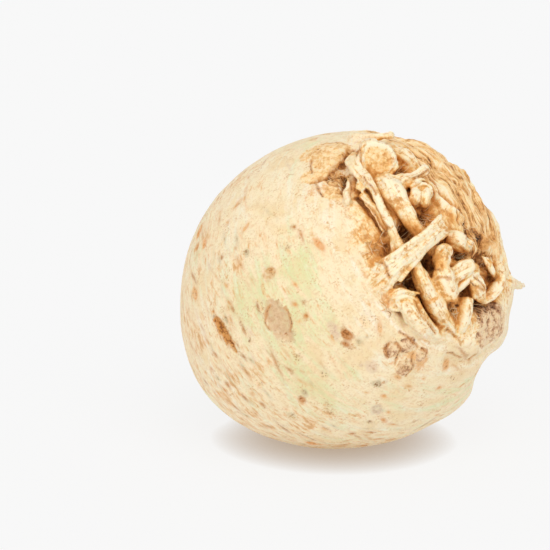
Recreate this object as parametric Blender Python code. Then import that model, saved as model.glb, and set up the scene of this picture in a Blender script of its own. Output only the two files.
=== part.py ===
"""Celeriac root with its leaves trimmed off, lying tipped on a table.

One solid that grew as one piece: a ball-like body, a knot of thick cut and broken
roots at its root end, and the ringed scar of the leaf stalks at its crown end.
Metres, +Z up. The origin is the middle of the small flat spot that it rests on.
"""
import math

import bmesh
import bpy
import numpy as np
from mathutils import Matrix, Vector

MM = 0.001

# The whole root. Its own axis runs from the crown end to the root end.
NAME = "celeriac_root"
EQUATOR = 60.5 * MM
POLAR = 66.0 * MM
ROOT_END_ELEVATION = math.radians(33.5)
ROOT_END_HEADING = math.radians(-38.4)
FLAT_SPOT_DEPTH = 1.9 * MM
REST_POINT = (-0.7 * MM, 0.0 * MM)      # under the weight, measured from the body's centre

# Mesh size. The ball is warped so that its triangles are smaller at the root end and
# a little smaller at the crown, and then thinned where the skin is smooth.
BALL_SUBDIVISIONS = 6
BALL_CROWDING = 0.36
POLES_CROWDING = 0.07
KEPT_SHARE = 0.27
STUB_SIDES_RESOLUTION = 2
STUB_STEP = 3.0 * MM
WELD_DISTANCE = 0.02 * MM

# Places on the skin are map coordinates (u, v) in millimetres: the distance from the
# root end's pole along the skin, u level with the table and v uphill.
MAP_RADIUS = 60.0

# Broad swellings: degrees from the root end, bearing in degrees, spread in degrees, height in mm.
SWELLINGS = (
    (140, -165, 28, 3.2),
    (96, -150, 30, 0.8),
    (69, -62, 6.5, -4.4),
    (62, -71, 7.5, -2.4),
    (80, -70, 11, 1.8),
    (46, 29, 6.5, -2.2),
    (42, 17, 13, -2.2),
    (46, -25, 5, -1.4),
    (47, -33, 12, 1.4),
    (100, 60, 26, -1.2),
    (120, 110, 28, 1.0),
    (88, 20, 24, 1.3),
    (112, -20, 22, -1.4),
    (60, 150, 20, 0.7),
    (134, -98, 24, -0.9),
    (104, -105, 20, -0.7),
)

# The root end lies a little lower than the ball, out to this distance.
BASIN_DEPTH = 2.2
BASIN_INNER = 36.0
BASIN_OUTER = 52.0

# Hollows and pads at the root end: u, v, radius, depth (a pad is a negative depth), in mm.
HOLLOWS = (
    (-37, 47, 9.0, 2.0),
    (-35, 35, 5.5, 2.4),
    (-30, 41, 4.5, 2.2),
    (-25, 2.7, 3.8, 6.5),
    (-36, 4, 5.0, 2.4),
    (-34.5, 0.3, 3.4, 3.0),
    (-20.6, -8.3, 3.2, 5.5),
    (-20.8, -12, 3.0, 5.5),
    (-31.5, -15, 3.4, 4.8),
    (-31, -18, 2.6, 3.6),
    (-13.7, 8, 4.8, 4.4),
    (-9.3, 29.6, 3.8, 3.6),
    (2.3, -29, 5.4, 4.2),
    (-8.2, -25, 2.8, 3.2),
    (11.5, -23.5, 2.2, 3.0),
    (-12.5, -5.7, 3.0, 3.6),
    (24, -6, 4.6, 1.8),
    (-17, -29, 4.6, -1.0),
    (0.5, -41, 8.5, -1.8),
    (18, -44, 8.5, -1.6),
    (33, -49, 7.0, -1.5),
    (-43, -37.6, 3.8, -1.1),
    (-36, -37.5, 4.0, -1.3),
    (-30.4, -46, 4.0, -1.1),
    (-38.7, -45, 4.8, -0.9),
    (-44, 33, 6.0, -1.0),
)

# Crevices between the roots: half width and depth in mm, then the map points along it.
CREVICES = (
    (2.2, 4.6, ((-33, 24), (-32.3, 16), (-31.4, 9.5), (-31.4, 4.7))),
    (1.8, 2.6, ((-17, 46), (-24, 42.5), (-27.6, 40), (-31, 34.5), (-34.4, 31))),
    (1.8, 1.8, ((-41, 42), (-37.4, 40), (-33.2, 39), (-28, 40.6))),
    (1.8, 3.2, ((-29, -15.7), (-28, -20), (-26.4, -25), (-23.7, -30.6))),
    (1.6, 2.4, ((-32.3, -21.6), (-30.7, -25.6), (-28.6, -31), (-25, -35.4))),
    (1.8, 3.4, ((-10, -10.6), (-5.3, -11.7), (0, -12))),
    (1.8, 3.8, ((3, -14.5), (8, -17.5), (11, -18.2), (11.5, -23.5))),
    (1.8, 4.2, ((18.4, -26), (18.5, -28.2), (14.8, -31.6), (6.8, -32.6), (-1.3, -32))),
    (1.6, 2.2, ((34, -17), (22.3, -19.6), (17, -21))),
    (1.8, 2.6, ((5, 36), (10, 27), (13, 17), (17, 5), (19, -8))),
    (1.8, 2.4, ((13, 42), (20, 33), (26, 22), (30, 8), (31, -6))),
    (2.2, 2.6, ((24, 44), (33, 33), (38, 21), (41, 9), (41, -4))),
    (1.8, 2.2, ((-3, 14), (1, 8), (3, -2), (0.4, -6.5))),
    (2.2, 1.8, ((-17, -49), (-8, -52.5), (3, -53), (14, -50))),
)

# Ridges of bark that run over the far shoulder, laid out as the crevices are.
BARK_RIDGES = (
    (4.2, 1.5, ((0, 41), (6, 32), (9, 22), (12, 12), (13, 0))),
    (4.4, 1.6, ((9, 42), (16, 32), (21, 21), (24, 9), (25, -4))),
    (4.6, 1.5, ((18, 46), (27, 36), (33, 24), (36, 12), (37, 0))),
    (4.2, 1.4, ((29, 45), (38, 33), (44, 20), (47, 6))),
    (3.6, 1.2, ((20, -12), (21, -22), (17, -34), (10, -42))),
)

# Cut and broken roots: map points with the lift of the root's middle above the ball and
# its radius, in mm, from where it leaves the body to its end. CUT_ENDS end flat.
STUBS = {
    "cut_stump": ((-1, 40, -9, 6.4), (-8, 38, -4, 6.8), (-18, 34.8, 2.4, 7.3)),
    "top_twig": ((-14, 53, -2, 2.4), (-9, 52.5, -0.2, 2.0), (-1.7, 45.6, 1.6, 1.5), (1.3, 43, 2.6, 1.4)),
    "strap": (
        (-16, 46, -1, 2.2), (-22, 42, 1.2, 2.4), (-26.6, 37, 1.4, 2.4), (-28.6, 31, 1.4, 2.2),
        (-28, 25.5, 1.8, 1.8), (-29, 20, 2, 1.7), (-30.6, 9, 1.8, 1.7), (-30.8, 3, 1, 1.8),
        (-29.7, -1.5, -1, 1.9),
    ),
    "ring_stub": ((-27, 29, -3.5, 2.2), (-30.5, 28, 1, 2.7)),
    "trunk": ((-20, 33, -3, 5.4), (-22, 23.5, -1.6, 6.4), (-21.8, 16.6, -1.2, 5.4), (-21.3, 10, -1, 3.7),
              (-19.7, 2, -2.2, 2.6)),
    "trunk_arm": ((-21, 22, -1.5, 4.4), (-16.6, 22.2, 0.4, 3.0), (-12.3, 22.6, 1.4, 2.2),
                  (-2.4, 23.4, 1.8, 2.3)),
    "bud_left": ((-11, 19.4, -2.4, 2.0), (-14, 16.6, -0.4, 2.3), (-15.4, 14.4, -0.2, 2.4)),
    "bud_right": ((-8.4, 18, -2, 1.8), (-10.4, 14.8, -0.2, 2.0), (-12.2, 12, -0.2, 2.0)),
    "smooth_ridge": ((-14, -1.6, -2.4, 2.4), (-8.7, -5.4, 0, 3.1), (-4.5, -7.8, -0.6, 3.0),
                     (0.2, -10.3, -2.2, 2.6)),
    "crossing_root": (
        (-45, -8.5, -5, 6.4), (-41, -7, -1.6, 5.4), (-37.8, -5.9, 1.0, 4.4), (-32.7, -4, 3.0, 3.2),
        (-26, -2.2, 4.0, 2.7), (-19, -0.6, 4.4, 2.5), (-13.6, 0.9, 4.4, 2.7),
    ),
    "knobby_root": (
        (-16.2, -8.2, 1.7, 2.4), (-17.4, -10.8, 1, 3.0), (-18.6, -17.8, 0.8, 4.2),
        (-18.3, -21.5, -0.5, 4.2), (-17.4, -25.2, -3, 3.8),
    ),
    "slanting_root": (
        (-27.6, -6, -2.2, 2.0), (-28.5, -12.6, 0, 2.4), (-27.5, -17.5, 0, 2.9),
        (-25.7, -22.6, -0.2, 3.4), (-18.5, -33.5, -3, 4.4), (-16, -40, -5, 5.0),
    ),
    "tongue_root": ((-35.8, -20.3, -1.4, 2.0), (-33.4, -27.3, -0.2, 2.5), (-31, -31.6, -0.8, 2.5),
                    (-27, -37.5, -2.8, 2.6)),
    "wedge_root": ((-15.6, -16, -2.2, 2.6), (-8.3, -15.4, 0.5, 3.5), (-4.6, -15.2, 0.5, 3.1)),
    "narrow_root": ((-14.6, -21.6, -2, 1.8), (-10.8, -20.4, 0, 1.8), (-3.3, -19, 0.4, 1.5)),
    "ringed_bulb": ((0.6, -21.4, -1.4, 2.4), (-1.4, -23.6, -0.4, 3.2), (-3, -26.4, -0.6, 3.7),
                    (-1.8, -29.3, -3, 3.2)),
    "rim_piece": ((15.4, -17.4, -2, 2.2), (13.2, -22.5, 0, 2.5), (10, -26.5, 0, 2.7),
                  (5.7, -29.5, -0.6, 2.5), (0.7, -31.3, -2, 2.4)),
    "vee_flap": ((5, -12.4, -1.6, 1.8), (6.5, -17.6, -0.4, 2.2), (9.8, -22.7, -1, 1.6)),
    "pale_ridge": ((-13.6, -26, -1.8, 2.2), (-12.2, -30.7, -0.6, 2.8), (-11, -36, -1, 3.3),
                   (-7.5, -43.7, -3, 3.6)),
    "low_ridge": ((-22, -33, -3, 3.2), (-18, -36, -1.6, 3.4), (-15, -43, -2.6, 3.6)),
    "side_sprout": ((33, -26, -2.2, 2.8), (42, -27.5, 1.0, 2.4), (48, -27.5, 5.2, 1.5)),
    "bark_lobe": ((22, 26, -5, 4.4), (29, 21, -3.4, 4.4), (35, 13, -5, 4.2)),
    "far_lobe": ((36, 8, -5, 4.0), (42, 0, -2.6, 4.2), (44, -9, -4, 3.8)),
}
CUT_ENDS = {"cut_stump", "crossing_root", "wedge_root", "ring_stub"}
ROUND_END = ((0.25, 0.96), (0.55, 0.80), (0.85, 0.45))     # of the radius: how far on, how thick

# Crown end: sliced flat, with rings of leaf scars, stalk butts and a bud in the middle.
CROWN_SLICE = 3.6 * MM
CROWN_RADIUS = 30.0
RING_SPACING = 7.4
RING_HEIGHT = 1.3
STALKS = 7
STALK_CIRCLE = 15.5
STALK_HEIGHT = 3.2
BUD_RADIUS = 5.0
BUD_HEIGHT = 3.0

COLOUR = (0.79, 0.66, 0.42, 1)
ROUGHNESS = 0.62


def clear_scene():
    for thing in list(bpy.data.objects):
        bpy.data.objects.remove(thing)


def make_collection(name):
    collection = bpy.data.collections.new(name)
    bpy.context.scene.collection.children.link(collection)
    return collection


def make_material():
    material = bpy.data.materials.new("celeriac_skin")
    material.use_nodes = True
    shader = material.node_tree.nodes["Principled BSDF"]
    shader.inputs["Base Color"].default_value = COLOUR
    shader.inputs["Roughness"].default_value = ROUGHNESS
    shader.inputs["Metallic"].default_value = 0.0
    return material


def smooth_step(low, high, x):
    t = np.clip((x - low) / (high - low), 0, 1)
    return t * t * (3 - 2 * t)


def directions_at(u, v):
    """Unit directions in the root's own axes for map places."""
    polar = np.hypot(u, v) / MAP_RADIUS
    bearing = np.arctan2(v, u)
    return np.stack(
        [np.sin(polar) * np.cos(bearing), np.sin(polar) * np.sin(bearing), np.cos(polar)], -1
    )


def map_places(directions):
    """The map places of unit directions."""
    polar = np.arccos(np.clip(directions[:, 2], -1, 1)) * MAP_RADIUS
    bearing = np.arctan2(directions[:, 1], directions[:, 0])
    return polar * np.cos(bearing), polar * np.sin(bearing)


def distance_to_line(u, v, points):
    """Distance in the map from each place to a line through several points."""
    nearest = np.full(u.shape, np.inf)
    for (u0, v0), (u1, v1) in zip(points, points[1:]):
        along_u, along_v = u1 - u0, v1 - v0
        t = ((u - u0) * along_u + (v - v0) * along_v) / (along_u**2 + along_v**2)
        t = np.clip(t, 0, 1)
        nearest = np.minimum(nearest, np.hypot(u - u0 - t * along_u, v - v0 - t * along_v))
    return nearest


def swelling_height(directions):
    height = np.zeros(len(directions))
    for polar, bearing, spread, peak in SWELLINGS:
        a, b = math.radians(polar), math.radians(bearing)
        middle = np.array([math.sin(a) * math.cos(b), math.sin(a) * math.sin(b), math.cos(a)])
        angle = np.degrees(np.arccos(np.clip(directions @ middle, -1, 1)))
        height += peak * np.exp(-((angle / spread) ** 2))
    return height


def root_end_height(directions):
    """Basin, hollows, crevices and bark ridges round the root end's pole."""
    u, v = map_places(directions)
    from_pole = np.hypot(u, v)
    height = -BASIN_DEPTH * (1 - smooth_step(BASIN_INNER, BASIN_OUTER, from_pole))
    for middle_u, middle_v, radius, depth in HOLLOWS:
        away = np.hypot(u - middle_u, v - middle_v) / radius
        height -= depth * np.exp(-(away**3))
    for half_width, peak, points in BARK_RIDGES:
        height += peak * np.exp(-((distance_to_line(u, v, points) / half_width) ** 2))
    for half_width, depth, points in CREVICES:
        height -= depth * np.exp(-((distance_to_line(u, v, points) / half_width) ** 2))
    return height


def crown_height(directions):
    """Rings of leaf scars, a circle of cut leaf stalks and a bud, round the crown's pole."""
    from_crown = (math.pi - np.arccos(np.clip(directions[:, 2], -1, 1))) * MAP_RADIUS
    bearing = np.arctan2(directions[:, 1], directions[:, 0])
    wander = 0.9 * np.sin(3 * bearing) + 0.6 * np.sin(5 * bearing + 1.0)
    fade = 1 - smooth_step(CROWN_RADIUS - 6, CROWN_RADIUS, from_crown)
    rings = RING_HEIGHT * fade * np.cos(2 * math.pi * from_crown / RING_SPACING + wander)
    lobe = np.cos(0.5 * STALKS * bearing) ** 2
    stalks = STALK_HEIGHT * lobe * np.exp(-(((from_crown - STALK_CIRCLE) / 3.4) ** 2))
    bud = BUD_HEIGHT * np.exp(-((from_crown / BUD_RADIUS) ** 4))
    return rings, stalks + bud


def ball_points(directions, lift=0.0, bare=False):
    """Points of the body in its own axes. A bare ball has only the broad swellings."""
    ball = directions * np.array([EQUATOR, EQUATOR, POLAR])
    outward = ball / np.linalg.norm(ball, axis=1, keepdims=True)
    height = swelling_height(directions) + lift
    if bare:
        return ball + outward * (height * MM)[:, None]
    rings, stalks = crown_height(directions)
    points = ball + outward * ((height + root_end_height(directions) + rings) * MM)[:, None]
    ring_floor = CROWN_SLICE - POLAR + rings * MM
    points[:, 2] = np.maximum(points[:, 2], ring_floor)
    points[:, 2] -= stalks * MM
    return points


def make_body(collection):
    mesh = bmesh.new()
    bmesh.ops.create_icosphere(mesh, subdivisions=BALL_SUBDIVISIONS, radius=1)
    directions = np.array([vertex.co.normalized() for vertex in mesh.verts])
    polar = np.arccos(np.clip(directions[:, 2], -1, 1))
    bearing = np.arctan2(directions[:, 1], directions[:, 0])
    warped = polar - BALL_CROWDING * np.sin(polar) - POLES_CROWDING * np.sin(2 * polar)
    warped *= MAP_RADIUS
    places = ball_points(directions_at(warped * np.cos(bearing), warped * np.sin(bearing)))
    for vertex, place in zip(mesh.verts, places):
        vertex.co = place
    data = bpy.data.meshes.new(NAME)
    mesh.to_mesh(data)
    mesh.free()
    body = bpy.data.objects.new(NAME, data)
    collection.objects.link(body)
    fewer = body.modifiers.new("fewer_triangles", "DECIMATE")
    fewer.decimate_type = "COLLAPSE"
    fewer.ratio = KEPT_SHARE
    fewer.use_collapse_triangulate = True
    apply_modifiers(body)
    return body


def smooth_route(points):
    """A smooth curve through the points, which are rows of place and radius."""
    rows = np.array(points, float)
    padded = np.vstack([2 * rows[0] - rows[1], rows, 2 * rows[-1] - rows[-2]])
    route = []
    for before, start, end, after in zip(padded, padded[1:], padded[2:], padded[3:]):
        steps = max(1, round(float(np.linalg.norm((end - start)[:3])) / STUB_STEP))
        for t in np.arange(steps) / steps:
            route.append(0.5 * (
                2 * start + (end - before) * t
                + (2 * before - 5 * start + 4 * end - after) * t**2
                + (3 * start - before - 3 * end + after) * t**3
            ))
    route.append(rows[-1])
    return route


def stub_route(name):
    """Rows of x, y, z and radius along one root, in metres."""
    marks = np.array(STUBS[name], float)
    middles = ball_points(directions_at(marks[:, 0], marks[:, 1]), lift=marks[:, 2], bare=True)
    route = smooth_route(np.column_stack([middles, marks[:, 3] * MM]))
    if name in CUT_ENDS:
        return route
    end, radius = route[-1][:3], route[-1][3]
    onward = end - route[-2][:3]
    onward /= np.linalg.norm(onward)
    for ahead, share in ROUND_END:
        route.append(np.append(end + onward * radius * ahead, radius * share))
    return route


def make_stub(name, collection):
    route = stub_route(name)
    curve = bpy.data.curves.new(name, "CURVE")
    curve.dimensions = "3D"
    curve.bevel_depth = 1.0
    curve.bevel_resolution = STUB_SIDES_RESOLUTION
    curve.use_fill_caps = True
    spline = curve.splines.new("POLY")
    spline.points.add(len(route) - 1)
    for point, (x, y, z, radius) in zip(spline.points, route):
        point.co = (x, y, z, 1)
        point.radius = radius
    tube = bpy.data.objects.new(name + "_curve", curve)
    collection.objects.link(tube)
    bpy.context.view_layer.update()
    seen = tube.evaluated_get(bpy.context.evaluated_depsgraph_get())
    data = bpy.data.meshes.new_from_object(seen)
    mesh = bmesh.new()
    mesh.from_mesh(data)
    bmesh.ops.remove_doubles(mesh, verts=mesh.verts, dist=WELD_DISTANCE)
    mesh.to_mesh(data)
    mesh.free()
    stub = bpy.data.objects.new(name, data)
    stub.matrix_world = tube.matrix_world
    collection.objects.link(stub)
    bpy.data.objects.remove(tube)


def apply_modifiers(thing):
    """Turns what the viewport shows into the object's own mesh."""
    bpy.context.view_layer.update()
    seen = thing.evaluated_get(bpy.context.evaluated_depsgraph_get())
    data = bpy.data.meshes.new_from_object(seen)
    thing.modifiers.clear()
    thing.data = data


def join_stubs(body, stubs):
    """One union of the body and every root."""
    union = body.modifiers.new("roots_grown_on", "BOOLEAN")
    union.operation = "UNION"
    union.operand_type = "COLLECTION"
    union.collection = stubs
    union.solver = "EXACT"
    apply_modifiers(body)
    for stub in list(stubs.objects):
        bpy.data.objects.remove(stub)
    bpy.data.collections.remove(stubs)


def lay_down(body):
    """Turns the root end up and aside, and slices the flat spot that it rests on."""
    toward = Vector((
        math.cos(ROOT_END_ELEVATION) * math.cos(ROOT_END_HEADING),
        math.cos(ROOT_END_ELEVATION) * math.sin(ROOT_END_HEADING),
        math.sin(ROOT_END_ELEVATION),
    ))
    level = Vector((-math.sin(ROOT_END_HEADING), math.cos(ROOT_END_HEADING), 0))
    uphill = toward.cross(level)
    body.data.transform(Matrix((level, uphill, toward)).transposed().to_4x4())
    lowest = min(vertex.co.z for vertex in body.data.vertices)
    down = -(lowest + FLAT_SPOT_DEPTH)
    body.data.transform(Matrix.Translation((-REST_POINT[0], -REST_POINT[1], down)))
    mesh = bmesh.new()
    mesh.from_mesh(body.data)
    cut = bmesh.ops.bisect_plane(
        mesh, geom=mesh.verts[:] + mesh.edges[:] + mesh.faces[:], dist=1e-7,
        plane_co=(0, 0, 0), plane_no=(0, 0, 1), clear_inner=True,
    )
    rim = [edge for edge in cut["geom_cut"] if isinstance(edge, bmesh.types.BMEdge)]
    bmesh.ops.holes_fill(mesh, edges=rim)
    bmesh.ops.triangulate(mesh, faces=[face for face in mesh.faces if len(face.verts) > 3])
    mesh.to_mesh(body.data)
    mesh.free()


def build():
    clear_scene()
    parts = make_collection("celeriac_root")
    stubs = make_collection("roots_to_join")
    body = make_body(parts)
    for name in STUBS:
        make_stub(name, stubs)
    join_stubs(body, stubs)
    lay_down(body)
    body.data.materials.clear()
    body.data.materials.append(make_material())
    body.data.shade_smooth()
    body.data.set_sharp_from_angle(angle=math.radians(50))


build()
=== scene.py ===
import math
import random

import bmesh
import bpy
import numpy as np
from mathutils import Matrix, Vector
from mathutils.bvhtree import BVHTree
from mathutils.kdtree import KDTree


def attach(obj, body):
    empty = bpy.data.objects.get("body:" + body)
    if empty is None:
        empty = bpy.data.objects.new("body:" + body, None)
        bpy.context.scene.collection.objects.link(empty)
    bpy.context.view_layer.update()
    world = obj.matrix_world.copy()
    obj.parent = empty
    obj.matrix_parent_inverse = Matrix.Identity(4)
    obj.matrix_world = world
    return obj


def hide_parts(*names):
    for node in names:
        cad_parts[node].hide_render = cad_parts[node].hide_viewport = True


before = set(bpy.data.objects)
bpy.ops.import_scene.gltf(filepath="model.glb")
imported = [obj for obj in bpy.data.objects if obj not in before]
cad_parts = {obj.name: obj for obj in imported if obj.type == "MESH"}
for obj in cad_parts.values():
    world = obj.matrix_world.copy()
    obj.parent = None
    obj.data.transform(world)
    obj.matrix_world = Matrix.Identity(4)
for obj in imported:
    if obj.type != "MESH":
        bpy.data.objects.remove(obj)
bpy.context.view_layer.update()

# The view.
# A shop picture: the root lies on a white sweep and a long lens looks down on it by
# 15 degrees, with the root standing to the right of the picture's middle.
MM = 0.001
VIEW_CENTRE = Vector((0.7, 0.0, 60.2)) * MM
VIEW_ELEVATION = math.radians(15)
VIEW_DISTANCE = 0.9
FIELD_WIDTH = 211.5 * MM
AIM_RIGHT = -27.3 * MM
AIM_UP = 5.4 * MM


def add_object(name, data):
    thing = bpy.data.objects.new(name, data)
    bpy.context.scene.collection.objects.link(thing)
    return thing


toward_camera = Vector((0, -math.cos(VIEW_ELEVATION), math.sin(VIEW_ELEVATION)))
picture_right = Vector((1, 0, 0))
picture_up = toward_camera.cross(picture_right)
camera = add_object("camera", bpy.data.cameras.new("camera"))
camera.data.sensor_width = 36
camera.data.lens = camera.data.sensor_width / FIELD_WIDTH * VIEW_DISTANCE
camera.location = VIEW_CENTRE + toward_camera * VIEW_DISTANCE
aim = VIEW_CENTRE + picture_right * AIM_RIGHT + picture_up * AIM_UP
camera.rotation_euler = (camera.location - aim).to_track_quat("Z", "Y").to_euler()
bpy.context.scene.camera = camera
bpy.context.scene.view_settings.view_transform = "Standard"

# The body.
# A celeriac is the swollen foot of the plant's stem: one firm ball of pale flesh under
# a thin corky skin. It grew, so every form here is a swelling or a hollow of that ball.
EQUATOR = 60.5 * MM
POLAR = 66.0 * MM
BODY_CENTRE = Vector((0.7, 0.0, 59.52)) * MM
ROOT_END_ELEVATION = math.radians(33.5)
ROOT_END_HEADING = math.radians(-38.4)
MAP_RADIUS = 60.0            # map places (u, v) are mm along the skin from the root end's pole
BALL_SUBDIVISIONS = 7
# How closely the ball's points crowd toward the root end, and toward both ends.
BALL_CROWDING = 0.36
POLES_CROWDING = 0.07
VOXEL = 0.5 * MM

# Broad swellings: degrees from the root end, bearing in degrees, spread in degrees, mm high.
SWELLINGS = (
    (140, -165, 28, 3.2), (96, -150, 30, 0.8), (69, -62, 6.5, -4.4), (62, -71, 7.5, -2.4),
    (80, -70, 11, 1.8), (46, 29, 6.5, -2.2), (42, 17, 13, -2.2), (46, -25, 5, -1.4), (47, -33, 12, 1.4),
    (100, 60, 26, -1.2), (120, 110, 28, 1.0), (88, 20, 24, 1.3), (112, -20, 22, -1.4),
    (60, 150, 20, 0.7), (134, -98, 24, -0.9), (104, -105, 20, -0.7),
)
BASIN_DEPTH = 2.2
BASIN_INNER = 36.0
BASIN_OUTER = 52.0

# Hollows at the root end: u, v, radius and depth in mm. A pad is a negative depth.
HOLLOWS = (
    (-32.3, 38, 3.8, 2.2), (-39, 30.5, 4.0, 1.0), (-25.2, 3.4, 3.6, 6.5), (-36, 4.1, 5.0, 1.2),
    (-34, 0.3, 3.0, 1.8), (-21.4, -8.6, 3.0, 5.5), (-21.6, -12, 2.8, 5.5), (-31.4, -13.5, 3.2, 4.8),
    (-31.2, -17.6, 2.4, 3.6), (-14.4, 7.6, 4.8, 4.4), (-8.6, 29.4, 3.6, 3.6), (7.2, 25, 1.9, 2.0),
    (11.3, 27.4, 1.3, 1.4), (2.3, -29, 5.4, 4.2), (-8.2, -25.1, 2.6, 3.2), (11.5, -23.5, 1.8, 3.0),
    (-12.5, -5.7, 2.9, 3.6), (-5, -12.2, 2.0, 2.4), (-3.9, 21.6, 1.2, 1.6), (-9, 20.5, 1.3, 1.6),
    (23.1, -27, 2.4, 2.6), (-17, -29, 4.6, -1.0), (0.5, -41, 8.5, -1.8), (18, -44, 8.5, -1.6),
    (33, -49, 7.0, -1.5), (-42.6, -36.8, 3.2, -0.9), (-36.4, -36.8, 3.6, -1.2), (-30.4, -43, 3.4, -1.1),
    (-36.8, -46, 4.4, -0.9), (-38.7, -40.6, 2.0, 0.9), (-23, 50.5, 8.5, -1.5), (-38.5, 36.2, 3.0, -0.9),
    (-46.5, 34, 4.0, -0.8), (19, 46, 9.0, 3.0), (-5, 1, 4.6, -1.0),
)

# Crevices between the roots: half width, depth, and the map points that each runs through.
CREVICES = (
    (0.9, 1.2, ((-34.1, 25.2), (-33.7, 22), (-33.2, 18.7), (-33, 15.5), (-33.3, 10.7), (-32.4, 6.4))),
    (1.3, 2.4, ((-17.1, 45.8), (-24, 43), (-29, 38.5), (-32.5, 34), (-35.2, 30.2))),
    (1.2, 1.6, ((-24, 43), (-30.3, 42), (-36.4, 39.5), (-40.9, 41.4))),
    (1.7, 3.2, ((-29, -15.7), (-28, -20), (-26.4, -25.2), (-23.7, -30.6))),
    (1.5, 2.4, ((-32.3, -21.6), (-30.7, -25.6), (-28.6, -30.9), (-25, -35.4))),
    (1.5, 2.0, ((-38.1, -21), (-37.4, -23.6), (-36.7, -26.6), (-35.9, -28.8))),
    (0.6, 1.0, ((-34.2, -19.6), (-33.1, -21), (-31.9, -23.4))),
    (1.7, 3.4, ((-9.9, -10.6), (-5.3, -11.7), (0, -12.1))),
    (1.7, 3.8, ((3, -14.5), (8, -17.5), (11.1, -18.2), (11.5, -23.5))),
    (1.7, 4.2, ((18.4, -25.9), (18.5, -28.2), (14.8, -31.6), (6.8, -32.6), (-1.3, -31.9))),
    (1.5, 2.2, ((33.9, -16.9), (22.3, -19.6), (17, -21))),
    (1.8, 2.6, ((5, 36), (10, 27), (13, 17), (17, 5), (19, -8))),
    (1.8, 2.4, ((13, 42), (20, 33), (26, 22), (30, 8), (31, -6))),
    (2.0, 2.6, ((24, 44), (33, 33), (38, 21), (41, 9), (41, -4))),
    (1.7, 2.2, ((-3, 14), (1, 8), (2.9, -1.8), (0.4, -6.5))),
    (2.0, 1.8, ((-17, -49), (-8, -52.5), (3, -53), (14, -50))),
)
BARK_RIDGES = (
    (4.2, 1.5, ((0, 41), (6, 32), (9, 22), (12, 12), (13, 0))),
    (4.4, 1.6, ((9, 42), (16, 32), (21, 21), (24, 9), (25, -4))),
    (4.6, 1.5, ((18, 46), (27, 36), (33, 24), (36, 12), (37, 0))),
    (4.2, 1.4, ((29, 45), (38, 33), (44, 20), (47, 6))),
    (3.6, 1.2, ((20, -12), (21, -22), (17, -34), (10, -42))),
)

# Splits in the skin, about a millimetre across, given as the crevices are.
CRACKS = (
    (0.6, 1.4, ((-16.5, 46.3), (-24, 43), (-30.3, 42), (-36.4, 39.5), (-40.9, 41.4))),
    (0.6, 1.4, ((-29.4, 37.4), (-30.9, 35.2), (-33.3, 32.5), (-35.4, 30.2))),
    (0.4, 0.8, ((-17.4, 43.9), (-21.9, 38.6), (-24.4, 33))),
    (0.4, 0.8, ((-40.7, 39.5), (-42, 35.7), (-42.6, 32.4))),
    (0.4, 0.8, ((-36.9, 38.4), (-37.8, 35), (-35.6, 33.2))),
    (0.3, 0.6, ((-31.6, 52.4), (-34.5, 49.4), (-36.9, 46.3))),
    (0.3, 0.6, ((-20.7, 57.5), (-18, 57.5), (-16, 54.9), (-16.4, 50.3))),
    (0.5, 1.0, ((-27.9, 28.7), (-28.4, 26.4), (-28.4, 24.1), (-29.2, 20.1))),
    (0.5, 1.0, ((-34.1, 25.2), (-33.7, 22), (-33.2, 18.7), (-33, 15.5), (-33.3, 10.7), (-32.4, 6.4))),
    (0.4, 0.8, ((-40.3, -2.8), (-39.5, -5.3), (-39.5, -7.5), (-39.1, -9.7))),
    (0.4, 0.9, ((-32.4, -22.8), (-31.7, -24.4), (-31.1, -26))),
    (0.4, 0.9, ((-29.3, -30.2), (-27.4, -32.9), (-25.2, -35.6))),
    (0.4, 0.7, ((-19, -36.7), (-16.6, -38.2), (-13.5, -41))),
    (0.4, 0.6, ((-17.3, -45.8), (-13.8, -47.7), (-8.8, -50.4))),
    (0.5, 1.0, ((-38.8, -31.4), (-36.6, -33.2), (-34.8, -35.5), (-33.1, -38.1), (-32.7, -39.6))),
    (0.5, 0.9, ((-43.4, -34.2), (-45, -35.5), (-45, -37.5), (-43.9, -39.8))),
    (0.5, 0.9, ((-30.7, -40.3), (-29.6, -41.2), (-28.1, -43.2))),
    (0.4, 0.7, ((-40.8, -34.9), (-39.3, -37.4), (-39.3, -40.2), (-41, -43.4))),
    (0.3, 0.6, ((-33.8, -41), (-34.4, -44), (-33.2, -47.5), (-35.4, -50.4))),
    (0.6, 1.2, ((3.1, -13.1), (8.2, -16), (9.4, -20.9), (8.2, -23.8), (3.7, -20.7))),
    (0.6, 1.2, ((2.1, -0.7), (2.1, -3.6), (1.2, -6.4))),
    (0.5, 1.0, ((-8.1, -12.3), (-5.3, -12.2), (-1.7, -12))),
    (0.5, 1.0, ((33.4, -17.1), (22.1, -20.1))),
    (0.6, 1.2, ((18.4, -25.9), (15.8, -28.3), (13.2, -29.9))),
    (0.3, 0.6, ((-9.2, -21.1), (-7.5, -23.3), (-4.1, -25.6))),
    (0.3, 0.6, ((-7, -19.9), (-4.7, -22.4), (-2.9, -25.7))),
    (0.3, 0.5, ((-22.7, -12.6), (-21.2, -13.7))),
    (0.3, 0.5, ((-23.1, -16.6), (-21.4, -16.3), (-19.7, -17.7))),
    (0.4, 0.8, ((5.2, 38.7), (1.1, 24.4), (-1.6, 10.8), (-1.7, -0.3))),
    (0.4, 0.8, ((-12.2, 20.6), (-9, 20.5), (-3.9, 21.6), (-2.6, 17.5))),
    (0.3, 0.3, ((-75.6, -3), (-75.2, -7.4), (-75.8, -11.6), (-77.4, -14.8))),
    (0.3, 0.3, ((-80.8, 1.4), (-83.6, -1.6), (-84.8, -6), (-84.2, -9.6))),
)

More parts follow.
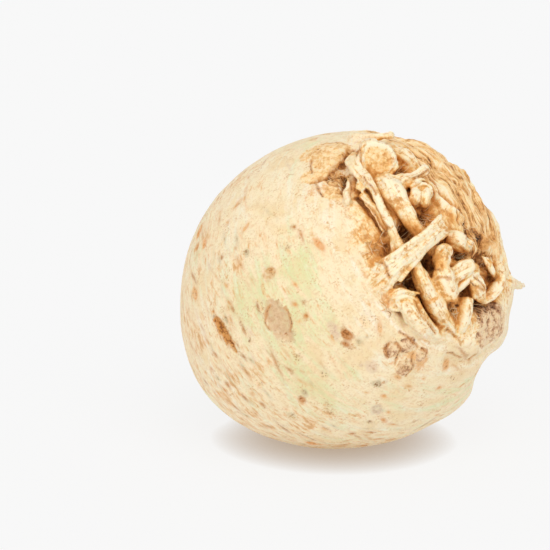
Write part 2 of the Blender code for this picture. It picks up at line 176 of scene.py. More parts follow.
# Places painted darker for the shadow they stay in and the soil they hold: u, v and radius in mm, and
# how dark.
SHADES = (
    (-25.4, 3.8, 3.6, 0.40), (-14.4, 7.3, 4.2, 0.34), (-21.9, -10.8, 3.4, 0.40),
    (-31.4, -14.5, 3.6, 0.40), (-32.5, -22.2, 1.8, 0.30), (-5, -12.2, 2.0, 0.45),
    (23.1, -27, 2.4, 0.35), (-32.3, 38.3, 3.4, 0.40), (-33.5, 24.7, 1.2, 0.60), (-8.4, 29.2, 2.8, 0.28),
    (-15.7, -29, 3.4, 0.26), (-1.9, -30.1, 2.4, 0.35), (-2.8, 0, 4.0, 0.20), (-13.9, -5.1, 2.4, 0.30),
    (-26, 54, 2.6, 0.35), (-30.5, 49.5, 2.4, 0.25), (-34, 3, 1.6, 0.45), (-36.3, -0.8, 1.2, 0.35),
    (2, -3.8, 1.6, 0.50), (-38.9, -38.6, 1.6, 0.30), (-33.4, -36.6, 1.2, 0.35), (8.4, -22.6, 1.4, 0.45),
    (-8.2, -25.1, 1.6, 0.35), (27, 7, 5.0, 0.25), (7.5, 32, 1.0, 0.60), (4.4, 25, 1.4, 0.60),
    (-1.1, -4.8, 1.2, 0.60), (5.2, -16.9, 1.2, 0.50), (-3.5, -17.5, 1.0, 0.45),
    (-18.9, -29.5, 2.0, 0.25), (6, -41, 2.4, 0.22), (-1, -45, 1.8, 0.25),
)

# Crown end: sliced flat, with rings of leaf scars, stalk butts and a bud in the middle.
CROWN_SLICE = 3.6 * MM
CROWN_RADIUS = 30.0
RING_SPACING = 7.4
RING_HEIGHT = 1.3
STALKS = 7
STALK_CIRCLE = 15.5
STALK_WIDTH = 3.4
STALK_HEIGHT = 3.2
BUD_RADIUS = 5.0
BUD_HEIGHT = 3.0


def smooth_step(low, high, x):
    t = np.clip((x - low) / (high - low), 0, 1)
    return t * t * (3 - 2 * t)


def lumps(places, size, seed):
    """A smooth random field from -1 to 1, with lumps about `size` across, for rows of places."""
    scaled = np.asarray(places) / size + 37.7 * seed
    cell = np.floor(scaled).astype(np.int64)
    inside = scaled - cell
    inside = inside * inside * (3 - 2 * inside)
    field = np.zeros(len(scaled))
    for corner in np.ndindex(2, 2, 2):
        corner = np.array(corner)
        share = np.prod(np.where(corner == 1, inside, 1 - inside), axis=1)
        mixed = (cell + corner) @ np.array([73856093, 19349663, 83492791])
        mixed = (mixed ^ (mixed >> 13)) * 1274126177
        field += share * (((mixed ^ (mixed >> 16)) & 0xFFFF) / 32767.5 - 1)
    return field


def directions_at(u, v):
    """Unit directions in the root's own axes, root end along +Z, for map places."""
    polar = np.hypot(u, v) / MAP_RADIUS
    bearing = np.arctan2(v, u)
    sine = np.sin(polar)
    return np.stack([sine * np.cos(bearing), sine * np.sin(bearing), np.cos(polar)], -1)


def map_places(directions):
    """Map places u and v, in mm, of unit directions."""
    polar = np.arccos(np.clip(directions[:, 2], -1, 1)) * MAP_RADIUS
    bearing = np.arctan2(directions[:, 1], directions[:, 0])
    return polar * np.cos(bearing), polar * np.sin(bearing)


def distance_to_line(u, v, points):
    """How far map places are from a line through map points."""
    nearest = np.full(u.shape, np.inf)
    for (u0, v0), (u1, v1) in zip(points, points[1:]):
        along_u, along_v = u1 - u0, v1 - v0
        t = ((u - u0) * along_u + (v - v0) * along_v) / (along_u**2 + along_v**2)
        t = np.clip(t, 0, 1)
        nearest = np.minimum(nearest, np.hypot(u - u0 - t * along_u, v - v0 - t * along_v))
    return nearest


def swelling_height(directions):
    """The broad swellings and hollows of the ball, in mm."""
    height = np.zeros(len(directions))
    for polar, bearing, spread, peak in SWELLINGS:
        a, b = math.radians(polar), math.radians(bearing)
        middle = np.array([math.sin(a) * math.cos(b), math.sin(a) * math.sin(b), math.cos(a)])
        angle = np.degrees(np.arccos(np.clip(directions @ middle, -1, 1)))
        height += peak * np.exp(-((angle / spread) ** 2))
    return height


def root_end_height(directions):
    """Basin, hollows, crevices and bark ridges, with outlines that wander as grown ones do."""
    u, v = map_places(directions)
    from_pole = np.hypot(u, v)
    height = -BASIN_DEPTH * (1 - smooth_step(BASIN_INNER, BASIN_OUTER, from_pole))
    on_map = directions * MAP_RADIUS
    u = u + 0.9 * lumps(on_map, 5.0, 1) + 0.4 * lumps(on_map, 1.8, 2)
    v = v + 0.9 * lumps(on_map, 5.0, 3) + 0.4 * lumps(on_map, 1.8, 4)
    for middle_u, middle_v, radius, depth in HOLLOWS:
        away = np.hypot(u - middle_u, v - middle_v) / radius
        height -= depth * np.exp(-(away**3))
    for half_width, peak, points in BARK_RIDGES:
        height += peak * np.exp(-((distance_to_line(u, v, points) / half_width) ** 2))
    for half_width, depth, points in CREVICES:
        height -= depth * np.exp(-((distance_to_line(u, v, points) / half_width) ** 2))
    return height


def crown_height(directions):
    """Rings of leaf scars, and the cut leaf stalks with the bud, round the crown's pole."""
    from_crown = (math.pi - np.arccos(np.clip(directions[:, 2], -1, 1))) * MAP_RADIUS
    bearing = np.arctan2(directions[:, 1], directions[:, 0])
    wander = 0.9 * np.sin(3 * bearing) + 0.6 * np.sin(5 * bearing + 1.0)
    fade = 1 - smooth_step(CROWN_RADIUS - 6, CROWN_RADIUS, from_crown)
    rings = RING_HEIGHT * fade * np.cos(2 * math.pi * from_crown / RING_SPACING + wander)
    lobe = np.cos(0.5 * STALKS * bearing) ** 2
    stalks = STALK_HEIGHT * lobe * np.exp(-(((from_crown - STALK_CIRCLE) / STALK_WIDTH) ** 2))
    bud = BUD_HEIGHT * np.exp(-((from_crown / BUD_RADIUS) ** 4))
    return rings, stalks + bud


def ball_points(directions, lift=0.0, bare=False):
    """Points of the body in its own axes. A bare body has only the broad swellings."""
    ball = directions * np.array([EQUATOR, EQUATOR, POLAR])
    outward = ball / np.linalg.norm(ball, axis=1, keepdims=True)
    height = swelling_height(directions) + lift
    if bare:
        return ball + outward * (height * MM)[:, None]
    rings, stalks = crown_height(directions)
    points = ball + outward * ((height + root_end_height(directions) + rings) * MM)[:, None]
    points[:, 2] = np.maximum(points[:, 2], CROWN_SLICE - POLAR + rings * MM)
    points[:, 2] -= stalks * MM
    return points


toward = Vector((
    math.cos(ROOT_END_ELEVATION) * math.cos(ROOT_END_HEADING),
    math.cos(ROOT_END_ELEVATION) * math.sin(ROOT_END_HEADING),
    math.sin(ROOT_END_ELEVATION),
))
level = Vector((-math.sin(ROOT_END_HEADING), math.cos(ROOT_END_HEADING), 0))
uphill = toward.cross(level)
own_axes = Matrix((level, uphill, toward)).transposed()
own_to_frame = Matrix.Translation(BODY_CENTRE) @ own_axes.to_4x4()


def read_rows(things, attribute, width, kind=float):
    """One row of numbers for each vertex, normal or edge of a mesh."""
    values = np.empty(len(things) * width, kind)
    things.foreach_get(attribute, values)
    return values.reshape(-1, width)


def mesh_data(made, name):
    """Turns a mesh that was built by hand into the data that an object takes."""
    data = bpy.data.meshes.new(name)
    made.to_mesh(data)
    made.free()
    return data


ball = bmesh.new()
bmesh.ops.create_icosphere(ball, subdivisions=BALL_SUBDIVISIONS, radius=1)
ball_mesh = mesh_data(ball, "celeriac")
places = read_rows(ball_mesh.vertices, "co", 3)
places /= np.linalg.norm(places, axis=1, keepdims=True)
polar = np.arccos(np.clip(places[:, 2], -1, 1))
bearing = np.arctan2(places[:, 1], places[:, 0])
polar = polar - BALL_CROWDING * np.sin(polar) - POLES_CROWDING * np.sin(2 * polar)
polar *= MAP_RADIUS
places = ball_points(directions_at(polar * np.cos(bearing), polar * np.sin(bearing)))
ball_mesh.vertices.foreach_set("co", places.ravel())
celeriac = add_object("celeriac", ball_mesh)

# The cut and broken roots.
# Dozens of thick roots leave the foot of the ball. They were chopped and snapped off at
# harvest, so stubs, forks and buds cross each other there, grown out of the same flesh.
# Map points of each, with the lift of its middle above the ball and its radius, in mm.
ROOTS = {
    "cut_stump": (
        (-8.2, 41.3, -6, 6.2), (-13, 37.6, -2.8, 7.2), (-16, 35.2, -0.2, 7.8), (-18.8, 33, 2.6, 7.7),
    ),
    "stump_facet": ((1.3, 39.4, -2.4, 2.4), (-1.6, 34.3, -1.2, 3.2), (-0.3, 30.7, -2.2, 2.6)),
    "top_twig": (
        (-8.3, 55, -1, 2.0), (-8.8, 50.9, 0.4, 2.6), (-7.1, 48.2, 1.6, 2.0), (-4.6, 44.9, 2.8, 1.4),
        (-1, 42.3, 3.8, 1.3),
    ),
    "curled_lip": (
        (-16.9, 44.5, 0.4, 1.2), (-22.4, 40.8, 1.0, 2.4), (-25.4, 36.4, 1.3, 3.2),
        (-26.7, 31.7, 1.3, 2.8), (-26.7, 27.9, 1.2, 2.0),
    ),
    "strap": (
        (-25.3, 36.5, 0.4, 2.2), (-26.9, 30.9, 1.4, 2.2), (-27.6, 26.9, 1.8, 1.9),
        (-28.4, 23, 2.0, 1.7), (-29.6, 18.5, 2.1, 1.6), (-30.8, 13.3, 2.2, 1.6), (-31.6, 7.9, 2.2, 1.6),
        (-31.8, 3, 1.8, 1.7), (-31.3, -1.5, 1.2, 1.8), (-30.4, -5.2, 0, 1.8),
    ),
    "white_stalk": (
        (-30.6, 34.4, -0.2, 0.9), (-33.5, 30.3, 0.2, 1.1), (-36.4, 26.9, 0.2, 1.1),
        (-37.6, 24.6, -0.4, 1.6),
    ),
    "pocket_flap": ((-32.8, 2.8, 0, 0.8), (-33.5, 0.5, 0.4, 0.9), (-33.9, -1.7, 0.4, 0.8)),
    "strap_leaf": (
        (-31.2, 25, -1.0, 2.1), (-31.8, 20, -0.6, 2.1), (-32, 14.5, -0.6, 1.9), (-32.5, 8.1, -1, 1.5),
    ),
    "ring_stub": ((-28.7, 28, -3, 2.0), (-30.3, 27.4, 1.2, 2.3)),
    "trunk": (
        (-19, 29, -5.5, 4.4), (-20.8, 22.6, -2.4, 5.2), (-22, 17.6, -1.2, 4.7),
        (-22.2, 12.2, -0.8, 3.6), (-22.3, 6.4, -0.8, 2.7), (-21.2, 2.3, -1.4, 2.4),
        (-19.9, -2, -2.2, 2.2), (-19, -6.7, -1.2, 2.2),
    ),
    "trunk_arm": (
        (-18.5, 22.2, -2, 4.0), (-14.6, 22.5, -0.4, 3.0), (-11.4, 22.1, 0.6, 2.2), (-8, 22.1, 1.2, 1.9),
        (-3.1, 22.8, 1.4, 2.3),
    ),
    "flap_outer": (
        (-14.6, 18.3, 0.4, 0.8), (-12.2, 19.2, 1.3, 1.0), (-8.9, 19.2, 1.8, 1.0), (-6.5, 17, 1.4, 1.0),
        (-5.9, 14.4, 0.5, 0.9), (-6.4, 11.9, -0.6, 0.8),
    ),
    "flap_inner": (
        (-14.3, 17.4, 0.8, 0.7), (-12.5, 17.6, 2.0, 0.8), (-10.1, 16.9, 2.5, 0.8),
        (-8.6, 15.1, 2.0, 0.8), (-9, 12.6, 0.9, 0.7),
    ),
    "bud_left": ((-10.3, 19, -1.6, 1.7), (-14.2, 15.9, 0.2, 2.1), (-16.6, 13.4, 0.2, 1.9)),
    "bud_right": ((-6.9, 17.3, -1.6, 1.6), (-11.2, 13.7, 0.4, 2.2), (-13.5, 10.9, 0.3, 1.8)),
    "bark_finger": (
        (-5.3, 12.9, -2.0, 1.7), (-5.1, 9.1, -1.4, 2.0), (-2.9, 5.1, -1.6, 2.0), (0.8, 1.6, -2.4, 1.8),
    ),
    "bark_limb": ((7.7, -7, -1.6, 1.8), (7.6, -10.3, -1.0, 2.2), (10.5, -13.5, -1.8, 1.8)),
    "smooth_lump": (
        (-10.4, -3.6, -2.0, 2.6), (-8.9, -4.9, -1.1, 3.4), (-6.6, -6.7, -1.1, 3.5),
        (-3.3, -9.5, -1.8, 2.8),
    ),
    "lump_knob": ((-3.6, -7.4, -0.6, 1.6), (-3.2, -8.4, 0.8, 1.5)),
    "crossing_root": (
        (-45.1, -9.8, -4.6, 6.4), (-41.8, -8.6, -2.0, 5.6), (-38.8, -7.3, 0.6, 4.6),
        (-35.4, -6.1, 2.0, 3.6), (-30.6, -4.6, 3.0, 3.1), (-25.1, -2.9, 3.6, 3.0),
        (-19, -1.1, 3.8, 3.0), (-14.3, 0.2, 3.8, 3.0),
    ),
    "crossing_upper_rim": (
        (-39.6, -3.7, 1.4, 1.3), (-35.7, -3.2, 2.8, 1.2), (-30.9, -2, 3.8, 1.0),
        (-26.4, -0.8, 4.4, 1.0), (-21.2, 0.4, 4.7, 1.0), (-17, 1.9, 4.7, 1.1), (-14.4, 3.1, 4.2, 1.2),
    ),
    "crossing_lower_rim": (
        (-36.2, -12, 0.4, 1.4), (-32.9, -9.9, 1.7, 1.3), (-28.5, -7.6, 2.6, 1.1), (-23, -5.1, 3.2, 1.1),
        (-19, -3.8, 3.6, 1.1), (-14.4, -2.7, 3.4, 1.1),
    ),
    "knobby_root": (
        (-16.4, -7.8, 1.6, 1.9), (-17.2, -9.2, 1.5, 2.1), (-17.9, -10.3, 1.4, 3.2),
        (-18.6, -11.7, 1.1, 3.2), (-18.9, -12.9, 0.8, 2.9), (-19.2, -15.8, 0.8, 4.2),
        (-18.8, -19.5, 0.4, 4.5), (-17.4, -22.9, -0.8, 4.0),
    ),
    "knob_collar": (
        (-19.6, -8, 1.4, 0.8), (-18.5, -6.6, 2.2, 0.9), (-16.5, -6.5, 2.6, 0.9),
        (-14.6, -8.1, 2.4, 0.9), (-14.8, -9.8, 1.8, 0.9), (-16.7, -10.3, 1.4, 0.8),
    ),
    "slanting_root": (
        (-27.7, -8, -1, 2.0), (-28.1, -11.1, -0.2, 2.4), (-27.5, -15.2, 0.2, 3.0),
        (-26.5, -19.3, 0.2, 3.2), (-24.7, -24.1, -0.2, 3.5), (-21.6, -29.3, -1.4, 3.9),
        (-16.3, -36.1, -4.8, 4.2),
    ),
    "tongue_root": (
        (-35.8, -21.1, -0.4, 2.3), (-35, -23.2, 0.6, 2.9), (-33, -27.7, 0.6, 3.2),
        (-29.2, -33.4, -0.4, 3.3), (-22.3, -40.8, -3.8, 3.4),
    ),
    "thin_rootlet": ((-38.1, -20.3, 0.7, 0.8), (-37.6, -23.4, 0.8, 0.7), (-36.4, -28.4, 0.6, 0.7)),
    "thin_second": (
        (-31.7, -20.6, 0.4, 0.9), (-31.1, -24.2, 1.1, 0.9), (-29.1, -28.6, 1.0, 0.9),
        (-26.7, -32.2, 0.6, 0.8), (-23.6, -35.7, -0.2, 0.7),
    ),
    "torn_strip": (
        (-40, -17.2, -1.6, 2.6), (-38, -16.3, 0, 1.9), (-35.3, -16.4, 1, 1.2), (-33.1, -17.6, 1.6, 0.8),
        (-30.5, -19.2, 1.8, 0.6),
    ),
    "torn_strand": (
        (-39, -18.7, -0.8, 1.8), (-37.1, -18.2, 0.6, 1.1), (-34.7, -18.6, 1.2, 0.8),
        (-31.7, -20.6, 1.2, 0.6),
    ),
    "torn_foot": (
        (-39.7, -19.6, -0.4, 1.2), (-40.9, -20.7, 0.1, 0.8), (-39.8, -22.1, 0.2, 0.7),
        (-38.2, -22.6, 0.2, 0.6),
    ),
    "wedge_root": (
        (-15.4, -17.5, -0.6, 2.6), (-12.7, -16.7, 0.5, 3.2), (-9.9, -16.2, 0.8, 3.3),
        (-6.3, -15.8, 1.0, 2.8),
    ),
    "narrow_root": (
        (-14.5, -23.3, -1, 1.8), (-11.9, -21.6, 0.4, 1.8), (-8.5, -20.5, 0.8, 1.5),
        (-3.8, -19.4, 0.8, 1.1),
    ),
    "ringed_bulb": (
        (-4.6, -20.6, 0.2, 2.4), (-4.7, -22.8, 0.6, 3.2), (-3.8, -25.5, 0.2, 3.5),
        (-0.7, -28.4, -1, 2.6),
    ),
    "rim_piece": (
        (15.4, -18.1, -0.8, 1.4), (13.7, -21, 0, 2.0), (11.4, -24.1, 0.4, 2.3), (9.2, -26.7, 0.2, 2.5),
        (6.1, -29, -0.4, 2.4), (3.6, -30.5, -1.6, 2.0),
    ),
    "vee_flap": (
        (4, -13.6, -0.6, 1.0), (4.4, -17.2, 0.6, 1.7), (7.2, -20.9, 0.4, 1.5), (10, -23.6, -0.8, 0.9),
    ),
    "pale_ridge": (
        (-8.7, -27.3, -0.6, 2.0), (-10, -30, -0.4, 2.5), (-10.2, -33.7, -1.4, 3.0),
        (-10, -40.1, -4.6, 3.6),
    ),
    "side_sprout": (
        (33, -26, -2.2, 2.4), (40, -27.5, 0.4, 2.0), (45, -28, 2.8, 1.6), (49, -27.5, 5.2, 0.9),
    ),
    "bark_lobe": ((22, 26, -5, 4.4), (29, 21, -3.4, 4.4), (35, 13, -5, 4.2)),
    "far_lobe": ((36, 8, -5, 4.0), (42, 0, -2.6, 4.2), (44, -9, -4, 3.8)),
    "torn_web": (
        (-38, -20.6, -1.4, 1.8), (-35.4, -21, -1.2, 1.8), (-33, -22.4, -1.4, 1.8),
        (-31.4, -25, -1.6, 1.6),
    ),
}
CUT_ENDS = {"cut_stump", "crossing_root", "wedge_root", "ring_stub", "trunk_arm"}
BARKY = {"bark_lobe", "far_lobe", "bark_finger", "bark_limb"}
# How thick a flattened root is, as a share of its width.
FLATTENED = {
    "curled_lip": 0.6, "strap": 0.75, "strap_leaf": 0.6, "crossing_root": 0.62, "side_sprout": 0.6,
    "vee_flap": 0.6, "stump_facet": 0.8, "torn_strip": 0.7,
}
# A broken end is rounded: how far past the end, and how thick, in radii.
ROUND_END = ((0.2, 0.98), (0.4, 0.91), (0.6, 0.8), (0.78, 0.62), (0.9, 0.43), (0.98, 0.2))
ROUTE_STEP = 0.6 * MM
ROOT_SIDES = 32
ROOT_ROUGHNESS = 0.13


def smooth_route(rows, step):
    """A smooth curve through rows of numbers whose first three are a place in metres."""
    rows = np.array(rows, float)
    padded = np.vstack([2 * rows[0] - rows[1], rows, 2 * rows[-1] - rows[-2]])
    route = []
    for before, start, end, after in zip(padded, padded[1:], padded[2:], padded[3:]):
        steps = max(1, round(float(np.linalg.norm((end - start)[:3])) / step))
        for t in np.arange(steps) / steps:
            route.append(0.5 * (
                2 * start + (end - before) * t
                + (2 * before - 5 * start + 4 * end - after) * t**2
                + (3 * start - before - 3 * end + after) * t**3
            ))
    route.append(rows[-1])
    return np.array(route)


def skin_route(marks, step):
    """Rows of own-axes place and radius along map points with lift and radius in mm."""
    marks = np.array(marks, float)
    middles = ball_points(directions_at(marks[:, 0], marks[:, 1]), lift=marks[:, 2], bare=True)
    return smooth_route(np.column_stack([middles, marks[:, 3] * MM]), step)


def tube_mesh(route, sides, name, roughness=0.0, seed=0, ridges=0, thickness=1.0):
    """A closed tube along rows of place and radius. Roughness is a share of the radius."""
    middles, radii = route[:, :3], route[:, 3]
    ahead = np.gradient(middles, axis=0)
    ahead /= np.linalg.norm(ahead, axis=1, keepdims=True)
    outward = middles / np.linalg.norm(middles, axis=1, keepdims=True)
    across = np.cross(ahead, outward)
    across /= np.linalg.norm(across, axis=1, keepdims=True)
    upward = np.cross(across, ahead)
    turn = 2 * math.pi * np.arange(sides) / sides
    sideways, rise = np.cos(turn)[None, :, None], thickness * np.sin(turn)[None, :, None]
    ring = sideways * across[:, None] + rise * upward[:, None]
    points = middles[:, None] + ring * radii[:, None, None]
    if roughness:
        flat = points.reshape(-1, 3)
        swell = lumps(flat, 5.0 * MM, seed) + 0.5 * lumps(flat, 2.0 * MM, seed + 1)
        swell = swell.reshape(len(route), sides) + 0.6 * np.cos(ridges * turn + seed)[None, :]
        points += ring * (radii[:, None] * roughness * swell)[..., None]
    mesh = bmesh.new()
    rows = [[mesh.verts.new(point) for point in row] for row in points]
    for low, high in zip(rows, rows[1:]):
        for k in range(sides):
            j = (k + 1) % sides
            mesh.faces.new((low[k], low[j], high[j], high[k]))
    mesh.faces.new(rows[0][::-1])
    mesh.faces.new(rows[-1])
    bmesh.ops.recalc_face_normals(mesh, faces=mesh.faces)
    return mesh_data(mesh, name)


# Place, direction, distance along, radius and barkiness at every step of every root.
root_steps = []
root_pieces = []
for seed, (name, marks) in enumerate(ROOTS.items()):
    route = skin_route(marks, ROUTE_STEP)
    ahead = np.gradient(route[:, :3], axis=0)
    ahead /= np.linalg.norm(ahead, axis=1, keepdims=True)
    along = np.concatenate([[0], np.cumsum(np.linalg.norm(np.diff(route[:, :3], axis=0), axis=1))])
    barky = np.full(len(route), float(name in BARKY))
    along += 0.1 * seed
    root_steps.append(np.column_stack([route[:, :3], ahead, along, route[:, 3], barky]))
    if name not in CUT_ENDS:
        end, radius = route[-1][:3], route[-1][3]
        tip = [np.append(end + ahead[-1] * radius * on, radius * share) for on, share in ROUND_END]
        route = np.vstack([route, tip])
    thickness = FLATTENED.get(name, 1.0)
    ridges = 3 + seed % 3
    data = tube_mesh(route, ROOT_SIDES, name, ROOT_ROUGHNESS, 10 + seed, ridges, thickness)
    root_pieces.append(add_object(name, data))
root_steps = np.vstack(root_steps)

# Everything above is one body of flesh, so the ball and its roots are fused.
for thing in bpy.context.selected_objects:
    thing.select_set(False)
for tube in root_pieces:
    tube.select_set(True)
celeriac.select_set(True)
bpy.context.view_layer.objects.active = celeriac
bpy.ops.object.join()
fuse = celeriac.modifiers.new("fuse", "REMESH")
fuse.mode = "VOXEL"
fuse.voxel_size = VOXEL
soften = celeriac.modifiers.new("soften", "SMOOTH")
soften.factor = 0.5
soften.iterations = 2


def apply_modifiers(thing):
    """Turns what the viewport shows into the object's own mesh."""
    bpy.context.view_layer.update()
    seen = thing.evaluated_get(bpy.context.evaluated_depsgraph_get())
    data = bpy.data.meshes.new_from_object(seen)
    thing.modifiers.clear()
    thing.data = data


apply_modifiers(celeriac)

# The skin.
# Cork and dried bark, a fraction of a millimetre thick: smooth and waxy on the ball,
# pitted by pores and root scars, torn into fibres on the far shoulder of the root end.
# Marks are u, v, half length and half width in mm, degrees from level round the root's
# axis, and what kind of mark it is.
MARKS = (
    (-62, 62, 3.1, 1.5, 45, "tan"), (-70, 44, 2.6, 1.2, 50, "tan"), (-72, 57, 1.7, 1.0, 25, "tan"),
    (-71, 66, 3.4, 0.8, 0, "tan"), (-77, 32, 1.5, 1.5, 70, "grey"), (-75, 15, 2.9, 2.4, 80, "tan"),
    (-65, 21, 1.8, 1.8, 65, "ring"), (-58, 27, 1.1, 0.9, -35, "brown"),
    (-58, 22, 1.7, 0.6, -5, "brown"), (-55, 14, 3.3, 1.5, -20, "orange"),
    (-59, 12, 1.1, 0.8, -70, "ring"), (-84, 56, 1.0, 0.6, 90, "orange"),
    (-79, 74, 4.3, 0.7, -25, "tan"), (-82, 40, 1.9, 1.1, -25, "ring"), (-82, 29, 3.9, 0.9, -20, "tan"),
    (-92, 45, 3.3, 0.9, -20, "lilac"), (-101, 53, 3.5, 0.6, -30, "brown"),
    (-82, 17, 2.3, 0.7, -10, "tan"), (-69, 4, 1.3, 0.8, -10, "orange"), (-92, 25, 2.1, 0.9, -35, "tan"),
    (-93, 37, 8.1, 0.5, -30, "tan"), (-38, 58, 4.7, 0.8, -30, "lilac"), (-47, 79, 4.8, 0.7, 65, "tan"),
    (-33, 77, 2.2, 0.4, -5, "brown"), (-37, 78, 1.8, 0.6, 85, "tan"), (-60, 43, 2.9, 0.3, -40, "grey"),
    (-68, 32, 2.1, 0.5, -5, "tan"), (-74, 42, 2.2, 0.5, -20, "tan"),
    (-103.9, 2.5, 8.4, 2.5, -12, "gash"), (-102.2, -7.5, 2.9, 0.6, -12, "slit"),
    (-104.4, 8.5, 2.6, 0.5, -25, "slit"), (-104.9, 13, 1.2, 0.6, -5, "slit"),
    (-80, -7, 8.4, 4.6, -5, "flat"), (-79, -14.5, 2.9, 1.3, -40, "brown"),
    (-82, -10, 2.6, 1.2, -20, "tan"), (-100, 8, 2.4, 1.1, 0, "grey"), (-98, 6, 2.4, 0.8, 0, "tan"),
    (-94, -9, 1.7, 1.5, 0, "speck"), (-99, -17, 1.5, 0.8, -25, "brown"),
    (-96, -21, 2.4, 0.9, -15, "grey"), (-86, -26, 4.5, 0.5, 15, "brown"),
    (-77, -28, 2.2, 1.9, -10, "ring"), (-68, -40, 2.0, 1.7, -5, "speck"),
    (-77, -51, 1.5, 1.4, 10, "brown"), (-76, -47, 1.6, 1.2, 5, "grey"),
    (-73, -54, 1.7, 0.8, -5, "ring"), (-95, -51, 1.4, 1.0, 10, "brown"),
    (-92, -44, 1.7, 0.8, 10, "grey"), (-84, -46, 1.3, 0.8, -40, "speck"),
    (-83, -74, 3.0, 0.6, 10, "brown"), (-91, -73, 1.4, 0.6, -30, "brown"),
    (-64, -74, 1.7, 0.6, 5, "brown"), (-104, -44, 2.0, 0.7, -15, "brown"),
    (-100, -42, 1.3, 0.7, 0, "tan"), (-112, -32, 1.1, 0.8, 0, "brown"),
    (-117, -33, 2.1, 0.7, -5, "grey"), (-117, -25, 1.3, 0.9, -5, "grey"),
    (-110, -27, 3.4, 0.6, 0, "grey"), (-113, -8, 1.8, 0.7, -20, "brown"),
    (-105, -24, 1.5, 0.6, 0, "tan"), (-100, -26, 3.7, 0.9, 0, "tan"),
    (-101, -22, 1.6, 0.8, -30, "grey"), (-114, -19, 1.7, 0.6, -25, "tan"),
    (-117, 3, 2.0, 0.6, -15, "tan"), (-121, 1, 1.5, 0.7, -10, "tan"), (-114, 15, 2.8, 0.8, -15, "tan"),
    (-118, 23, 2.4, 0.6, -25, "tan"), (-122, 22, 2.1, 0.6, -35, "tan"),
    (-110, 20, 1.9, 0.7, -20, "tan"), (-119, -16, 1.0, 0.8, -10, "orange"),
    (-128, -25, 1.2, 0.7, -5, "brown"), (-105, -61, 2.7, 0.8, -35, "grey"),
    (-111, -52, 2.0, 0.8, -15, "brown"), (-99, -59, 1.3, 0.9, 15, "tan"),
    (-116, -38, 2.5, 0.5, -10, "tan"), (-106, -41, 1.1, 0.6, -10, "tan"),
    (-73, -44, 2.1, 0.8, 25, "tan"), (-95, 15, 1.8, 0.8, -20, "orange"),
    (-95, 11, 1.2, 0.6, -15, "brown"), (-85, 4, 1.6, 0.7, 5, "brown"), (-69, -5, 1.1, 0.7, -5, "brown"),
    (-72, -4, 1.1, 0.9, -25, "orange"), (-70, -11, 1.2, 1.2, -10, "orange"),
    (-58, -25, 2.7, 1.9, -10, "brown"), (-59, -29, 2.3, 1.1, -15, "brown"),
    (-62, -22, 4.8, 2.0, 10, "lilac"), (-54, -30, 1.6, 1.1, 0, "grey"),
    (-50, -22, 2.8, 2.8, -25, "ring"), (-51, -29, 0.8, 0.7, -25, "grey"),
    (-46, -27, 3.4, 1.1, 35, "tan"), (-54, -40, 1.3, 1.1, 0, "lilac"), (-50, -42, 2.9, 2.4, 5, "lilac"),
    (-47, -51, 2.3, 1.7, -5, "grey"), (-45, -51, 0.9, 0.5, -45, "brown"),
    (-43, -58, 1.3, 1.0, 5, "orange"), (-38, -68, 1.3, 0.8, 25, "orange"),
    (-38, -73, 2.0, 0.9, 20, "orange"), (-44, -65, 3.2, 2.2, 10, "lilac"),
    (-44, -73, 2.3, 1.5, 15, "speck"), (-17, -61, 1.5, 1.0, -25, "orange"),
    (-11, -58, 2.6, 1.4, 30, "speck"), (-17, -51, 2.1, 1.9, -55, "tan"),
    (-8, -67, 1.6, 1.2, -55, "ring"), (-5, -85, 3.0, 0.6, -65, "brown"),
    (-18, -79, 1.0, 0.4, -35, "brown"), (-44, -85, 3.8, 0.4, 20, "brown"),
    (-47, -89, 2.1, 0.7, -70, "tan"), (-35, -89, 4.7, 0.9, 20, "tan"), (-65, -60, 5.5, 1.8, 30, "ring"),
    (-63, -24, 2.2, 1.0, 15, "tan"), (-73, -12, 0.8, 0.6, 75, "orange"), (-61, -36, 2.3, 0.4, 5, "tan"),
    (-68, -36, 2.5, 0.4, 10, "tan"), (-64, -35, 2.5, 0.3, 15, "tan"), (-39, -50, 1.8, 1.2, 5, "tan"),
    (-38, -56, 1.4, 0.4, -5, "tan"), (-33, -56, 1.9, 0.9, -5, "tan"), (-10, -54, 3.5, 0.8, 25, "tan"),
    (-9, -48, 3.9, 0.6, 30, "brown"), (-1, -52, 2.5, 1.5, -75, "tan"), (10, -61, 2.3, 1.2, -75, "tan"),
    (-42.5, -34.5, 2.4, 2.0, 0, "ring"), (-31.2, -41.5, 2.2, 2.2, 0, "ring"),
    (-37, -44.5, 3.0, 2.6, 0, "ring"),
)
# kind: fill colour, share of fill, share of rim, share of dark specks
MARK_LOOKS = {
    "tan": ("#DDA05E", 0.55, 0.30, 0.60),
    "brown": ("#BF7F42", 0.75, 0.60, 1.00),
    "orange": ("#E09244", 0.60, 0.25, 0.55),
    "grey": ("#C5AE84", 0.50, 0.35, 0.85),
    "lilac": ("#DDBE9F", 0.45, 0.10, 0.35),
    "ring": ("#E6C08A", 0.28, 0.50, 0.60),
    "speck": ("#E2BB86", 0.30, 0.20, 1.00),
    "flat": ("#E3BB8E", 0.70, 0.90, 0.40),
    "gash": ("#DF9845", 0.85, 0.80, 1.60),
    "slit": ("#6B3610", 1.00, 0.00, 0.00),
}
